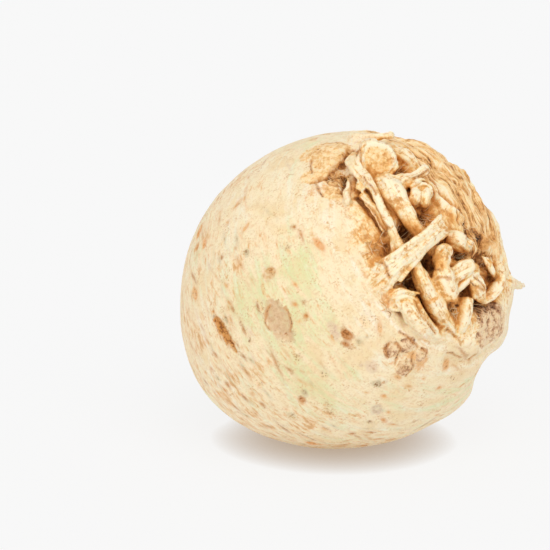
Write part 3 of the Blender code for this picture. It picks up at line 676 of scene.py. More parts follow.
# Soft stains near the root end: u, v, half length, half width, turn, strength.
STAINS = (
    (-38, 3, 6.0, 4.4, 60, 0.75), (-45, 9, 8.0, 4.4, 60, 0.5), (-47, 20, 7.0, 3.6, 60, 0.35),
    (-43, -12, 4.4, 3.6, 0, 0.45), (-41, -17.5, 4.4, 3.0, 40, 0.7), (-51, 28, 5.0, 2.4, 60, 0.3),
    (-39.6, 34.7, 2.2, 1.8, 0, 1.0), (-17.2, -27, 2.8, 2.4, 0, 0.8), (-16.6, -31.3, 3.2, 2.8, 0, 0.7),
    (-43, -37.6, 3.4, 3.2, 0, 0.9), (-36, -37.5, 3.8, 3.6, 0, 0.5), (-30.4, -46.1, 4.4, 3.2, 60, 0.95),
    (-35, -42.2, 3.6, 3.2, 0, 0.9), (-38.7, -46.5, 5.6, 3.6, 20, 0.6), (-47, -4, 3.4, 2.2, -30, 0.4),
    (-28.6, -23.5, 5.5, 1.0, 115, 1.0), (-22, 12, 4.0, 1.2, 80, 0.5), (-8, -16, 3.0, 2.0, 0, 0.3),
    (13, -34, 5.0, 2.6, 80, 0.8), (-44.5, 36, 5.0, 2.6, 60, 0.7), (-41, 28, 3.6, 2.0, 30, 0.6),
    (-5, 3, 3.4, 2.4, 0, 0.4),
)
# Round pores over the hidden side, and short corky streaks toward the crown, by rule.
PORE_MARKS = 70
PORE_BELT = (58, 122)
PORE_CLEARANCE = 7
SHOWING_BEARINGS = (130, 275)
STREAK_MARKS = 520
STREAK_BELT_START = 82
STREAK_BELT_WIDTH = 86


def wild_marks():
    """Pores and streaks by rule: fewer where the listed marks are, more toward the crown."""
    draw = random.Random(7)
    made = []
    while len(made) < PORE_MARKS:
        from_root_end, bearing = draw.uniform(*PORE_BELT), draw.uniform(-180, 180)
        u = from_root_end * math.cos(math.radians(bearing))
        v = from_root_end * math.sin(math.radians(bearing))
        clear = all(math.hypot(u - row[0], v - row[1]) > PORE_CLEARANCE for row in MARKS)
        showing = from_root_end < 96 and SHOWING_BEARINGS[0] < bearing % 360 < SHOWING_BEARINGS[1]
        if clear and not (showing and draw.random() < 0.8):
            kind = draw.choice(("tan", "tan", "tan", "brown", "grey", "orange", "ring"))
            size = draw.uniform(0.9, 2.4)
            made.append((u, v, size * draw.uniform(1.0, 1.5), size, draw.uniform(-30, 30), kind))
    for _ in range(STREAK_MARKS):
        from_root_end = STREAK_BELT_START + STREAK_BELT_WIDTH * draw.random() ** 0.8
        bearing = draw.uniform(-180, 180)
        u = from_root_end * math.cos(math.radians(bearing))
        v = from_root_end * math.sin(math.radians(bearing))
        kind = draw.choice(("tan", "tan", "grey", "orange", "tan", "brown", "lilac"))
        length = draw.uniform(0.8, 3.0)
        made.append((u, v, length, draw.uniform(0.35, 0.95), draw.gauss(-8, 9), kind))
    return made


def linear(colour):
    """A colour written as an sRGB hex value, as the linear one that shaders take."""
    parts = [int(colour[k:k + 2], 16) / 255 for k in (1, 3, 5)]
    return (*[((c + 0.055) / 1.055) ** 2.4 if c > 0.04045 else c / 12.92 for c in parts], 1)


mesh = celeriac.data
count = len(mesh.vertices)
places = read_rows(mesh.vertices, "co", 3)
normals = read_rows(mesh.vertex_normals, "vector", 3)
edges = read_rows(mesh.edges, "vertices", 2, np.int32)
neighbours = np.bincount(edges.ravel(), minlength=count)[:, None]


def spread(values, rounds):
    """Each vertex's value averaged with its neighbours', several times over."""
    values = values.reshape(count, -1).copy()
    for _ in range(rounds):
        total = values.copy()
        for column in range(values.shape[1]):
            total[:, column] += np.bincount(edges[:, 0], values[edges[:, 1], column], count)
            total[:, column] += np.bincount(edges[:, 1], values[edges[:, 0], column], count)
        values = total / (neighbours + 1)
    return values


directions = places / np.array([EQUATOR, EQUATOR, POLAR])
directions /= np.linalg.norm(directions, axis=1, keepdims=True)
u, v = map_places(directions)
from_pole = np.hypot(u, v)
bare = ball_points(directions, bare=True)
height = (np.linalg.norm(places, axis=1) - np.linalg.norm(bare, axis=1)) / MM

# How far each vertex is from the nearest root's middle, in radii, and its place along and
# around that root. A barky root counts as none, because the bark's own look covers it.
ROOTS_LIMIT = 66.0
NO_ROOT = 9.0
nearest_root = KDTree(len(root_steps))
for k, step in enumerate(root_steps):
    nearest_root.insert(step[:3], k)
nearest_root.balance()
root_away = np.full(count, NO_ROOT)
cut_face = np.zeros(count)
root_along = np.zeros(count)
root_around = np.zeros(count)
for k in np.flatnonzero(from_pole < ROOTS_LIMIT):
    _, which, away = nearest_root.find(places[k])
    middle, ahead = root_steps[which, :3], root_steps[which, 3:6]
    along, radius, barky = root_steps[which, 6:]
    root_away[k] = (away / radius) * (1 - barky) + NO_ROOT * barky
    root_along[k] = along
    side = np.cross(ahead, middle)
    offset = places[k] - middle
    cut_face[k] = max(0.0, normals[k] @ ahead) if away < 1.1 * radius else 0.0
    sideways = offset @ side / np.linalg.norm(side)
    root_around[k] = math.atan2(sideways, offset @ middle / (MAP_RADIUS * MM)) * radius
cut_face = smooth_step(0.75, 0.92, cut_face)
cut_core = cut_face * (1 - smooth_step(0.66, 0.86, root_away))
cut_rim = cut_face * np.exp(-(((root_away - 0.86) / 0.13) ** 2))
root = 1 - smooth_step(1.06, 1.4, root_away)
root *= smooth_step(-5.0, -2.5, height)

# Where the far shoulder is torn to bark: between the roots and the shoulder, from below to
# above, and clear of the corner where smooth skin runs up to the roots.
wander = 2.6 * lumps(places, 9 * MM, 21) + 1.3 * lumps(places, 3 * MM, 22)
across_fibres = u + 4.0 * smooth_step(25, 55, v) - 0.10 * v
bark = smooth_step(-2.5, 2.5, across_fibres + 0.7 * wander)
bark *= 1 - smooth_step(50, 62, u + 0.2 * v + 2.4 * wander)
from_below = smooth_step(-19, -11, v + 0.2 * u + wander)
bark *= from_below * (1 - smooth_step(56, 66, v + 2.0 * wander))
smooth_corner = smooth_step(29, 34, u + 0.4 * wander)
bark *= 1 - smooth_corner * (1 - smooth_step(-1, 4, v + 0.4 * wander))
bark *= 1 - 0.9 * root

# Patches of old scars: u, v, a factor on the distance along u and along v (below 1 draws the
# patch out), the radii between which it fades out, how much its edge wanders, its strength.
SCALY_PATCHES = (
    (-25, 49, 1, 0.85, 8, 12, 1.0, 0.70), (-33, 37.5, 1, 1, 4.5, 7.5, 0.8, 1.0),
    (-39.5, 31, 1, 1, 3.5, 6.5, 0.8, 0.75), (-28, 41, 1, 1, 2.5, 5.5, 0.8, 0.60),
    (-37.5, 43, 1, 1, 3.5, 6.5, 0.8, 0.70), (-1, 38, 1, 1, 3, 7, 1.0, 0.4),
    (-15.7, -29, 1, 1, 2, 4.5, 0.7, 0.5),
)
SCAR_PATCHES = ((8, -40, 0.75, 1, 6, 9.5, 1.0, 1.0), (3, -44, 1, 1, 2.5, 5, 0.6, 0.8))
ROUND_SCARS = (
    (-42.6, -36.8, 1, 1, 2.2, 3.8, 0.5, 1.0), (-36.4, -36.8, 1, 1, 2.6, 4.2, 0.5, 1.0),
    (-30.4, -43, 1, 1, 2.2, 3.8, 0.5, 1.0), (-36.8, -46, 1, 1, 3.4, 5.0, 0.5, 1.0),
)


def patch_field(rows):
    """How strongly each vertex lies inside any of some patches."""
    field = np.zeros(count)
    for middle_u, middle_v, factor_u, factor_v, whole, gone, wandering, strength in rows:
        away = np.hypot((u - middle_u) * factor_u, (v - middle_v) * factor_v)
        inside = 1 - smooth_step(whole, gone, away + wandering * wander)
        field = np.maximum(field, strength * inside)
    return field


patch = patch_field(SCALY_PATCHES)
scar = patch_field(SCAR_PATCHES)
cluster = patch_field(ROUND_SCARS)

# Marks: how far each vertex is from the nearest mark's edge in mm, and that mark's look.
MARK_REACH = 6.0
STAIN_REACH = 4.0
mark_edge = np.full(count, MARK_REACH)
mark_colour = np.tile(linear("#E4C68F")[:3], (count, 1))
mark_look = np.zeros((count, 3))
mark_relief = np.zeros(count)
slits = np.zeros(count)
stain_marks = np.zeros(count)


def near_mark(mark_u, mark_v, half_length, half_width, turn, margin):
    """The vertices near a mark, and how far out they are as a share of its half sizes."""
    middle = directions_at(np.array([mark_u]), np.array([mark_v]))[0]
    around = math.atan2(mark_v, mark_u)
    round_axis = np.array([-math.sin(around), math.cos(around), 0])
    down_axis = np.cross(round_axis, middle)
    cosine, sine = math.cos(math.radians(turn)), math.sin(math.radians(turn))
    long_axis = cosine * round_axis + sine * down_axis
    short_axis = np.cross(middle, long_axis)
    near = np.flatnonzero(directions @ middle > math.cos((half_length + margin) / MAP_RADIUS))
    offset = directions[near] * MAP_RADIUS
    return near, np.hypot(offset @ long_axis / half_length, offset @ short_axis / half_width)


jitter = random.Random(11)
for mark_u, mark_v, half_length, half_width, turn, kind in MARKS + tuple(wild_marks()):
    near, away = near_mark(mark_u, mark_v, half_length, half_width, turn, MARK_REACH)
    ragged = 0.34 if kind == "gash" else 0.20
    uneven = lumps(places[near], 1.6 * MM, 31) + 0.6 * lumps(places[near], 0.8 * MM, 33)
    away *= 1 + ragged * uneven
    edge = (away - 1) * half_width
    nearer = edge < mark_edge[near]
    chosen = near[nearer]
    mark_edge[chosen] = edge[nearer]
    fill, *look = MARK_LOOKS[kind]
    mark_colour[chosen] = np.array(linear(fill)[:3]) * jitter.uniform(0.85, 1.12)
    mark_look[chosen] = np.array(look) * jitter.uniform(0.75, 1.0)
    rim = np.exp(-(((away - 0.95) / 0.22) ** 2))
    size = min(half_width, 3.0)
    if kind == "flat":
        mark_relief[near] += 0.22 * rim - 0.50 * (1 - smooth_step(0.7, 1.0, away))
    elif kind == "gash":
        mark_relief[near] -= 0.8 * (1 - smooth_step(0.3, 1.1, away))
    elif kind == "slit":
        slits[near] = np.maximum(slits[near], 1 - smooth_step(0.4, 1.1, away))
    elif kind != "lilac":
        mark_relief[near] += size * (0.06 * rim - 0.09 * (1 - smooth_step(0.5, 1.0, away)))
for mark_u, mark_v, half_length, half_width, turn, strength in STAINS:
    near, away = near_mark(mark_u, mark_v, half_length, half_width, turn, STAIN_REACH)
    away += 0.25 * lumps(places[near], 2.2 * MM, 32)
    stain = strength * (1 - smooth_step(0.35, 1.35, away))
    stain_marks[near] = np.maximum(stain_marks[near], stain)

# Splits: how far each vertex is from the nearest one's middle, and the groove it makes.
CRACK_REACH = 5.0
CRACKS_LIMIT = 125.0
crack_away = np.full(count, CRACK_REACH)
crack = np.zeros(count)
near_root_end = from_pole < CRACKS_LIMIT
wander_u = u + 0.45 * lumps(places, 2.4 * MM, 41) + 0.2 * lumps(places, 1.0 * MM, 43)
wander_v = v + 0.45 * lumps(places, 2.4 * MM, 42) + 0.2 * lumps(places, 1.0 * MM, 44)
for half_width, depth, points in CRACKS:
    line = distance_to_line(wander_u[near_root_end], wander_v[near_root_end], points)
    crack_away[near_root_end] = np.minimum(crack_away[near_root_end], line)
    groove = 0.6 * depth * np.exp(-((line / half_width) ** 2))
    crack[near_root_end] = np.maximum(crack[near_root_end], groove)
crack = np.maximum(crack, slits)


def level_places(stretch):
    """Places in mm, drawn out level round the root's axis."""
    return np.stack([places[:, 0] / MM / stretch, places[:, 1] / MM / stretch, from_pole], -1)


# Fine relief, in mm, laid along the surface normals.
rooty = 1 - smooth_step(38, 52, from_pole + 0.5 * wander)
fibre_places = np.stack([across_fibres + 0.8 * wander, v / 9, height / 4], -1)
fibres = 1 - 2 * np.abs(lumps(fibre_places, 2.6, 51)) + 0.5 * lumps(fibre_places, 1.1, 52)
root_places = np.stack([root_along / MM / 6, root_around / MM, root_along * 0 + 1], -1)
root_folds = lumps(root_places, 1.3, 53) + 0.6 * lumps(root_places, 0.6, 54)
ring_places = np.stack([root_along / MM, root_around / MM / 5, root_along * 0], -1)
root_rings = np.maximum(0, lumps(ring_places, 1.1, 55))
coarse = lumps(places, 2.6 * MM, 56) + 0.6 * lumps(places, 1.2 * MM, 57)
fine = lumps(places, 0.8 * MM, 58)
level_lines = lumps(level_places(12), 1.1, 59)
hollow = 1 - smooth_step(-5.5, -2.4, height)
relief = 0.12 * lumps(places, 7 * MM, 60) + 0.03 * level_lines + 0.015 * fine
relief += root * (1 - cut_face) * (0.36 * root_folds + 0.20 * root_rings + 0.10 * coarse)
relief += 0.45 * cut_rim + cut_face * 0.12 * coarse
relief += bark * (0.60 * fibres + 0.16 * coarse)
relief += np.maximum(patch, 0.5 * np.maximum(scar, cluster)) * (0.50 * coarse + 0.25 * fine)
relief += hollow * (0.55 * coarse + 0.30 * fine) * (1 - bark)
relief += mark_relief - crack
relief += rooty * (1 - root) * (1 - bark) * (0.34 * coarse + 0.12 * fine)
places = places + normals * (relief * MM)[:, None]

# Hollows of every width hold soil and dried skin, and their shade is painted in as well: what lies
# below its surroundings, or sees little of the open air between the roots, is painted brown and darker.
averaged = places
hollowness = {}
rounds_done = 0
for name, rounds in (("close", 3), ("middle", 12)):
    averaged = spread(averaged, rounds - rounds_done)
    rounds_done = rounds
    hollowness[name] = ((averaged - places) * normals).sum(1) / MM
# Painted shade: rays leave each vertex near the root end, and the more of them the body stops close by,
# the darker its colour is painted.
SHADE_REACH = 9 * MM
SHADE_RAYS = 9
SHADE_LIMIT = 58.0
SHADE_START = 0.4 * MM
SHADE_LEAN = 1.05            # how far the rays lean to the surface normal
corners = [tuple(face.vertices) for face in mesh.polygons]
surface = BVHTree.FromPolygons(places.tolist(), corners)
ray_draw = np.random.default_rng(5)
shade = np.zeros(count)
for k in np.flatnonzero(from_pole < SHADE_LIMIT):
    normal = normals[k]
    start = Vector(places[k] + normal * SHADE_START)
    for ray in ray_draw.normal(size=(SHADE_RAYS, 3)):
        ray = ray / np.linalg.norm(ray) + SHADE_LEAN * normal
        _, _, _, far = surface.ray_cast(start, Vector(ray), SHADE_REACH)
        if far is not None:
            shade[k] += 1 - 0.5 * far / SHADE_REACH
shade = spread(shade / SHADE_RAYS, 3)[:, 0]
low = smooth_step(0, 1, (2.0 - height) / 7.0)
# Soil and painted shade in one field: the rays' painted shade, hollows and low places, stains, cut
# faces and the listed shaded places.
soil_and_painted_shade = 0.78 * shade + 0.26 * smooth_step(-0.05, 0.25, hollowness["close"])
soil_and_painted_shade += 0.18 * smooth_step(-0.10, 0.60, hollowness["middle"]) + 0.16 * low * rooty
soil_and_painted_shade += 0.25 * stain_marks + 0.17 * cut_core - 0.12 * cut_rim
for shade_u, shade_v, radius, darkness in SHADES:
    away = np.hypot(u - shade_u, v - shade_v) + 0.35 * wander
    soil_and_painted_shade += darkness * np.exp(-((np.maximum(away, 0) / radius) ** 2))

rotation = np.array(own_to_frame.to_3x3())
in_frame = places @ rotation.T + np.array(own_to_frame.translation)
in_frame[:, 2] = np.maximum(in_frame[:, 2], 0)
mesh.vertices.foreach_set("co", in_frame.ravel())

green = 0.5 + 0.5 * lumps(directions, 0.55, 71) + 0.25 * lumps(directions, 0.2, 72)
green += 0.5 * np.exp(-(((u + 74) / 26) ** 2 + ((v + 30) / 34) ** 2))
green *= smooth_step(46, 66, from_pole)
weathered = smooth_step(78, 122, from_pole)
from_crown = math.pi * MAP_RADIUS - from_pole
crown = 1 - smooth_step(CROWN_RADIUS - 7, CROWN_RADIUS - 1, from_crown + 0.6 * wander)
ring_grooves = crown * (0.5 - 0.5 * crown_height(directions)[0] / RING_HEIGHT)
fields = {
    "rooty": np.clip(rooty, 0, 1), "root": root, "bark": np.clip(bark, 0, 1),
    "soil_and_painted_shade": soil_and_painted_shade, "stained": stain_marks, "green": green,
    "scaly": patch, "scarred": np.maximum(scar, 0.8 * cluster), "crack_away": crack_away,
    "mark_edge": mark_edge, "weathered": weathered, "crown": crown, "ring_grooves": ring_grooves,
}
fibre_mix = np.where((root > 0.5)[:, None], root_places * 0.8 + 50, fibre_places)
fibre_mix = np.where((cut_face > 0.3)[:, None], places / MM, fibre_mix)
place_fields = {
    "own_place": places / MM, "band_place": level_places(5), "streak_place": level_places(3),
    "fibre_place": fibre_mix, "mark_colour": mark_colour, "mark_look": mark_look,
}
KINDS_OF_FIELD = (("FLOAT", "value", fields), ("FLOAT_VECTOR", "vector", place_fields))
for kind, setting, named in KINDS_OF_FIELD:
    for name, values in named.items():
        layer = mesh.attributes.new(name, kind, "POINT")
        layer.data.foreach_set(setting, values.astype(np.float32).ravel())


def add_node(tree, kind, inputs=None, **settings):
    """Adds a node with its settings, and fills its inputs with values or links."""
    node = tree.nodes.new(kind)
    for name, value in settings.items():
        setattr(node, name, value)
    for key, value in (inputs or {}).items():
        if isinstance(value, bpy.types.NodeSocket):
            tree.links.new(value, node.inputs[key])
        else:
            node.inputs[key].default_value = value
    return node


def new_material(name):
    material = bpy.data.materials.new(name)
    material.use_nodes = True
    return material, material.node_tree, material.node_tree.nodes["Principled BSDF"]


# Celeriac skin: thin cork over starchy flesh, washed and air dried. It is matt with a
# faint waxy bloom, and light goes a millimetre or so into the flesh before it comes back.
skin, tree, shader = new_material("celeriac_cork_skin")
field = {
    name: add_node(tree, "ShaderNodeAttribute", attribute_name=name).outputs["Fac"]
    for name in fields
}
place = {
    name: add_node(tree, "ShaderNodeAttribute", attribute_name=name).outputs["Vector"]
    for name in place_fields
}

# Patterns: size in mm, the places that they read, which are in mm too, detail, distortion.
PATTERNS = {
    "clouds": (17.0, "own_place", 3.0, 0.5),
    "blotches": (5.5, "own_place", 4.0, 0.6),
    "flecks": (2.0, "own_place", 4.0, 0.4),
    "grain": (0.7, "own_place", 2.0, 0.0),
    "bands": (3.6, "band_place", 4.0, 0.6),
    "streaks": (1.5, "streak_place", 4.0, 0.4),
    "strands": (1.1, "fibre_place", 4.0, 0.6),
}
pattern = {
    name: add_node(tree, "ShaderNodeTexNoise", {
        "Vector": place[where], "Scale": 1 / size, "Detail": detail, "Roughness": 0.62,
        "Distortion": distortion,
    }).outputs["Fac"]
    for name, (size, where, detail, distortion) in PATTERNS.items()
}
SCALE_SIZE = 2.4
scale_edges = add_node(tree, "ShaderNodeTexVoronoi", {
    "Vector": place["own_place"], "Scale": 1 / SCALE_SIZE, "Randomness": 1.0,
}, feature="DISTANCE_TO_EDGE").outputs["Distance"]


def paint(under, colour, amount, low, high, most=1.0, within=()):
    """Lays a colour over another where `amount` passes from low to high, within some fields."""
    for limit in within:
        amount = add_node(
            tree, "ShaderNodeMath", {0: amount, 1: limit}, operation="MULTIPLY"
        ).outputs[0]
    share = add_node(tree, "ShaderNodeMapRange", {
        "Value": amount, "From Min": low, "From Max": high, "To Max": most,
    }, interpolation_type="SMOOTHSTEP")
    colour = linear(colour) if isinstance(colour, str) else colour
    mixed = add_node(
        tree, "ShaderNodeMix", {0: share.outputs["Result"], 6: under, 7: colour}, data_type="RGBA"
    )
    return mixed.outputs[2]


def sum_of(first, second, share):
    """first + share * (second - 0.5), to break a field's edge with a pattern."""
    centred = add_node(tree, "ShaderNodeMath", {0: second, 1: 0.5}, operation="SUBTRACT").outputs[0]
    return add_node(
        tree, "ShaderNodeMath", {0: centred, 1: share, 2: first}, operation="MULTIPLY_ADD"
    ).outputs[0]


def broken(value, **shares):
    """A value broken up by several patterns, each with its share."""
    for name, share in shares.items():
        value = sum_of(value, pattern[name], share)
    return value


def ridge_of(value):
    """A thin wandering line where a pattern passes its middle value, falling off beside it."""
    centred = add_node(tree, "ShaderNodeMath", {0: value, 1: 0.5}, operation="SUBTRACT").outputs[0]
    size = add_node(tree, "ShaderNodeMath", {0: centred}, operation="ABSOLUTE").outputs[0]
    return add_node(
        tree, "ShaderNodeMath", {0: size, 1: -12.0, 2: 1.0}, operation="MULTIPLY_ADD"
    ).outputs[0]


def tone_ramp(tree, amount, tones):
    """A colour that runs through tones, each at its place on the way from 0 to 1."""
    ramp = add_node(tree, "ShaderNodeValToRGB", {"Fac": amount})
    stops = ramp.color_ramp.elements
    stops[0].position, stops[0].color = tones[0][0], linear(tones[0][1])
    stops[1].position, stops[1].color = tones[-1][0], linear(tones[-1][1])
    for position, tone in tones[1:-1]:
        stops.new(position).color = linear(tone)
    return ramp.outputs["Color"]


# Smooth skin: cream, washed with straw and green, with short level streaks of tan cork.
smooth = paint(linear("#F7E4BE"), "#EED19D", pattern["clouds"], 0.50, 0.34, 0.6)
smooth = paint(smooth, "#FBF3E0", pattern["bands"], 0.46, 0.76, 0.70)
smooth = paint(smooth, "#D8DB9C", broken(field["green"], bands=2.2), 0.45, 1.20, 0.80)
smooth = paint(smooth, "#E3C391", broken(pattern["flecks"], grain=0.9), 0.44, 0.70, 0.50)
tan_streaks = sum_of(broken(pattern["streaks"], clouds=0.7), field["weathered"], 0.10)
smooth = paint(smooth, "#E9B87C", tan_streaks, 0.50, 0.72, 0.75)
smooth = paint(smooth, "#CC9153", tan_streaks, 0.62, 0.78, 0.60)
smooth = paint(smooth, "#FFF6E4", broken(pattern["bands"], streaks=-0.9), 0.56, 0.90, 0.50)
smooth = paint(smooth, "#CC9457", broken(pattern["grain"], blotches=1.3), 0.68, 0.84, 0.55)

# Root end: cream flesh where it stands out, soil, dried tissue and painted shade where it lies deep.
# The bark, scale and scar tones below darken with the same painted shade.
FLESH_TONES = (
    (0.0, "#FFEFCC"), (0.14, "#FEE1AD"), (0.30, "#F6C781"), (0.46, "#E8A656"), (0.64, "#CE873C"),
    (0.84, "#A66628"), (1.0, "#6E3F16"),
)
BARK_TONES = (
    (0.0, "#FFEEC9"), (0.22, "#FCDDA8"), (0.44, "#F2C384"), (0.62, "#DCA25C"), (0.80, "#AF7338"),
    (0.94, "#734719"), (1.0, "#472A10"),
)
SCALY_TONES = (
    (0.0, "#FAD9A2"), (0.25, "#EDC083"), (0.45, "#E2AE6C"), (0.62, "#CB9152"), (0.82, "#9A642E"),
    (1.0, "#4A2B12"),
)
SCAR_TONES = (
    (0.0, "#EFD3A9"), (0.25, "#D9B187"), (0.45, "#BE9069"), (0.65, "#996C49"), (0.85, "#6E4A2E"),
    (1.0, "#472D1B"),
)
soil_and_shade_tone = field["soil_and_painted_shade"]
flesh_tone = broken(soil_and_shade_tone, blotches=0.55, flecks=0.65, strands=0.45, grain=0.35)
flesh = tone_ramp(tree, flesh_tone, FLESH_TONES)
strand_tone = broken(soil_and_shade_tone, strands=2.0, blotches=1.2, grain=0.4)
torn_bark = tone_ramp(tree, sum_of(strand_tone, field["bark"], 0.62), BARK_TONES)
scale_line = add_node(tree, "ShaderNodeMapRange", {
    "Value": scale_edges, "From Min": 0.0, "From Max": 0.14, "To Min": 1.0, "To Max": 0.5,
}).outputs["Result"]
scaly_tone = broken(sum_of(soil_and_shade_tone, scale_line, 0.35), flecks=1.7, grain=0.7)
scaly = tone_ramp(tree, scaly_tone, SCALY_TONES)
scar_tone = broken(soil_and_shade_tone, flecks=2.3, blotches=1.8, grain=0.8)
scarred = tone_ramp(tree, scar_tone, SCAR_TONES)

flesh = paint(flesh, "#E0A05A", broken(pattern["flecks"], blotches=1.3), 0.60, 0.76, 0.65)
flesh = paint(flesh, "#CF9048", broken(pattern["strands"], flecks=0.8), 0.52, 0.72, 0.70)
thin_lines = ridge_of(pattern["strands"])
flesh = paint(flesh, "#A76E38", thin_lines, 0.44, 0.62, 0.5, within=(pattern["blotches"],))
colour = paint(smooth, flesh, broken(field["rooty"], blotches=0.8), 0.15, 0.75)
stained = broken(field["stained"], flecks=1.9, grain=0.8)
colour = paint(colour, "#E5A055", stained, 0.35, 0.95, 0.60)
colour = paint(colour, torn_bark, broken(field["bark"], flecks=0.5), 0.25, 0.60)
colour = paint(colour, scaly, broken(field["scaly"], flecks=1.2), 0.35, 0.75)
colour = paint(colour, scarred, broken(field["scarred"], flecks=1.0), 0.30, 0.80)

# Crown end: dried pale cut flesh, with brown fibres left in the grooves between leaf scars.
colour = paint(colour, "#EADFB4", broken(field["crown"], flecks=1.2), 0.35, 0.90, 0.75)
grooves = broken(field["ring_grooves"], flecks=1.5, grain=0.9)
colour = paint(colour, "#C08B50", grooves, 0.42, 0.80, 0.75)
colour = paint(colour, "#7E4C20", grooves, 0.85, 1.20, 0.75)

# Marks: a soft halo, an uneven fill, a broken rim and dark specks, from the edge distance.
fill_share, rim_share, speck_share = add_node(
    tree, "ShaderNodeSeparateXYZ", {0: place["mark_look"]}
).outputs
halo = add_node(tree, "ShaderNodeMapRange", {
    "Value": broken(field["mark_edge"], streaks=3.2), "From Min": 1.3, "From Max": -0.8,
}, interpolation_type="SMOOTHSTEP").outputs["Result"]
colour = paint(colour, place["mark_colour"], halo, 0.0, 1.2, 0.9, within=(fill_share,))
inside = add_node(tree, "ShaderNodeMapRange", {
    "Value": broken(field["mark_edge"], grain=0.9, flecks=1.4), "From Min": 0.15, "From Max": -0.75,
}, interpolation_type="SMOOTHSTEP").outputs["Result"]
uneven_share = broken(fill_share, flecks=1.6)
colour = paint(colour, place["mark_colour"], inside, 0.0, 0.9, within=(uneven_share,))
off_rim = add_node(tree, "ShaderNodeMath", {0: field["mark_edge"]}, operation="ABSOLUTE").outputs[0]
on_rim = add_node(tree, "ShaderNodeMapRange", {
    "Value": broken(off_rim, grain=-1.8, flecks=-1.6), "From Min": 0.36, "From Max": -0.30,
}).outputs["Result"]
colour = paint(colour, "#A5642B", on_rim, 0.15, 0.9, 0.8, within=(rim_share,))
specks = add_node(tree, "ShaderNodeMapRange", {
    "Value": broken(pattern["grain"], flecks=0.9), "From Min": 0.52, "From Max": 0.66,
}).outputs["Result"]
colour = paint(colour, "#83480F", specks, 0.10, 0.9, 0.85, within=(inside, speck_share))

# Splits: a brown halo and a dark broken core.
colour = paint(colour, "#CC8D4E", broken(field["crack_away"], flecks=1.6), 0.9, 0.1, 0.7)
colour = paint(colour, "#7A4718", broken(field["crack_away"], grain=1.5), 0.20, -0.10, 0.80)
tree.links.new(colour, shader.inputs["Base Color"])

roughness = add_node(tree, "ShaderNodeMapRange", {
    "Value": broken(field["soil_and_painted_shade"], grain=0.8), "From Min": 0.0, "From Max": 1.0,
    "To Min": 0.50, "To Max": 0.85,
}).outputs["Result"]
tree.links.new(roughness, shader.inputs["Roughness"])
shader.inputs["IOR"].default_value = 1.42
shader.inputs["Subsurface Weight"].default_value = 0.15
shader.inputs["Subsurface Radius"].default_value = (1.0, 0.55, 0.25)
shader.inputs["Subsurface Scale"].default_value = 1.6 * MM

fine_bumps = broken(pattern["grain"], streaks=0.8, flecks=1.0)
rough_bumps = broken(fine_bumps, strands=2.0)
bumps = add_node(
    tree, "ShaderNodeMix", {0: field["rooty"], 2: fine_bumps, 3: rough_bumps}
).outputs[0]
bump = add_node(tree, "ShaderNodeBump", {
    "Height": bumps, "Strength": 0.6, "Distance": 0.25 * MM,
})
tree.links.new(bump.outputs["Normal"], shader.inputs["Normal"])

# The one body is shared out over five pieces of mesh, so that none is too heavy, and
# each keeps the whole body's normals, so that no seam shows between them.
mesh.update()
whole_normals = read_rows(mesh.vertex_normals, "vector", 3, np.float32)
keep_normal = mesh.attributes.new("whole_normal", "FLOAT_VECTOR", "POINT")
keep_normal.data.foreach_set("vector", whole_normals.ravel())
SKIN_PIECES = (
    "celeriac_root_end", "celeriac_near_upper_skin", "celeriac_near_lower_skin",
    "celeriac_far_upper_skin", "celeriac_far_lower_skin",
)
ROOT_END_REACH = 52.0        # mm along the skin from the root end's pole
far_side = in_frame[:, 1] > BODY_CENTRE.y
lower_side = in_frame[:, 2] < BODY_CENTRE.z
share_of_vertex = np.where(from_pole < ROOT_END_REACH, 0, 1 + 2 * far_side + lower_side)
share_of_face = np.array([share_of_vertex[face[0]] for face in corners])
for share, name in enumerate(SKIN_PIECES):
    piece_mesh = bmesh.new()
    piece_mesh.from_mesh(mesh)
    piece_mesh.faces.ensure_lookup_table()
    others = [piece_mesh.faces[k] for k in np.flatnonzero(share_of_face != share)]
    bmesh.ops.delete(piece_mesh, geom=others, context="FACES")
    data = mesh_data(piece_mesh, name)
    kept_normals = read_rows(data.attributes["whole_normal"].data, "vector", 3, np.float32)
    data.shade_smooth()
    data.normals_split_custom_set_from_vertices(kept_normals)
    data.materials.append(skin)
    piece = add_object(name, data)
    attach(piece, "root")
    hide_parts("celeriac_root")
bpy.data.objects.remove(celeriac)

# The hair roots.
# Dead root hairs and shreds of dried rootlet, felted together in the hollows between the
# thick roots. Each is a thin tube that follows the surface below it, drawn thicker than a
# real one so that it shows.
HAIR_NESTS = (
    (-14.4, 7.6, 5.0, 60), (-25.2, 3.4, 4.2, 50), (-21.6, -10.4, 3.6, 44), (-31.4, -14.5, 4.4, 60),
    (-8.6, 29.2, 3.6, 26), (-33, 37, 4.6, 40), (-13, -5.6, 3.2, 26), (2, -29, 5.0, 36),
    (-8, -25, 3.0, 22), (-35, 2, 4.6, 26), (-5, -12.2, 3.0, 20), (-29.5, -26, 3.4, 22),
    (-15.7, -29.5, 4.0, 26), (9, -19, 4.0, 30), (-38, -19, 3.6, 20), (2, -4, 3.0, 16),
)
HAIR_RADIUS = (0.09 * MM, 0.17 * MM)
HAIR_LENGTH = (3.0, 8.0)
HAIR_STEP = 0.8
HAIR_LIFT = (0.1, 0.7)
HAIR_SIDES = 4
FEWEST_STEPS = 4
HAIR_REACH = -0.4        # mm above the bare ball: the nests stay below the thick roots' backs


def surface_point(at_u, at_v, lift):
    """The body's outermost point at a map place, raised a little, and how it stands out in mm."""
    outward = directions_at(np.array([at_u]), np.array([at_v]))
    hit, normal, _, _ = surface.ray_cast(Vector(outward[0]) * 0.1, -Vector(outward[0]))
    stands_out = (hit.length - np.linalg.norm(ball_points(outward, bare=True)[0])) / MM
    return np.array(hit + normal * lift * MM), stands_out


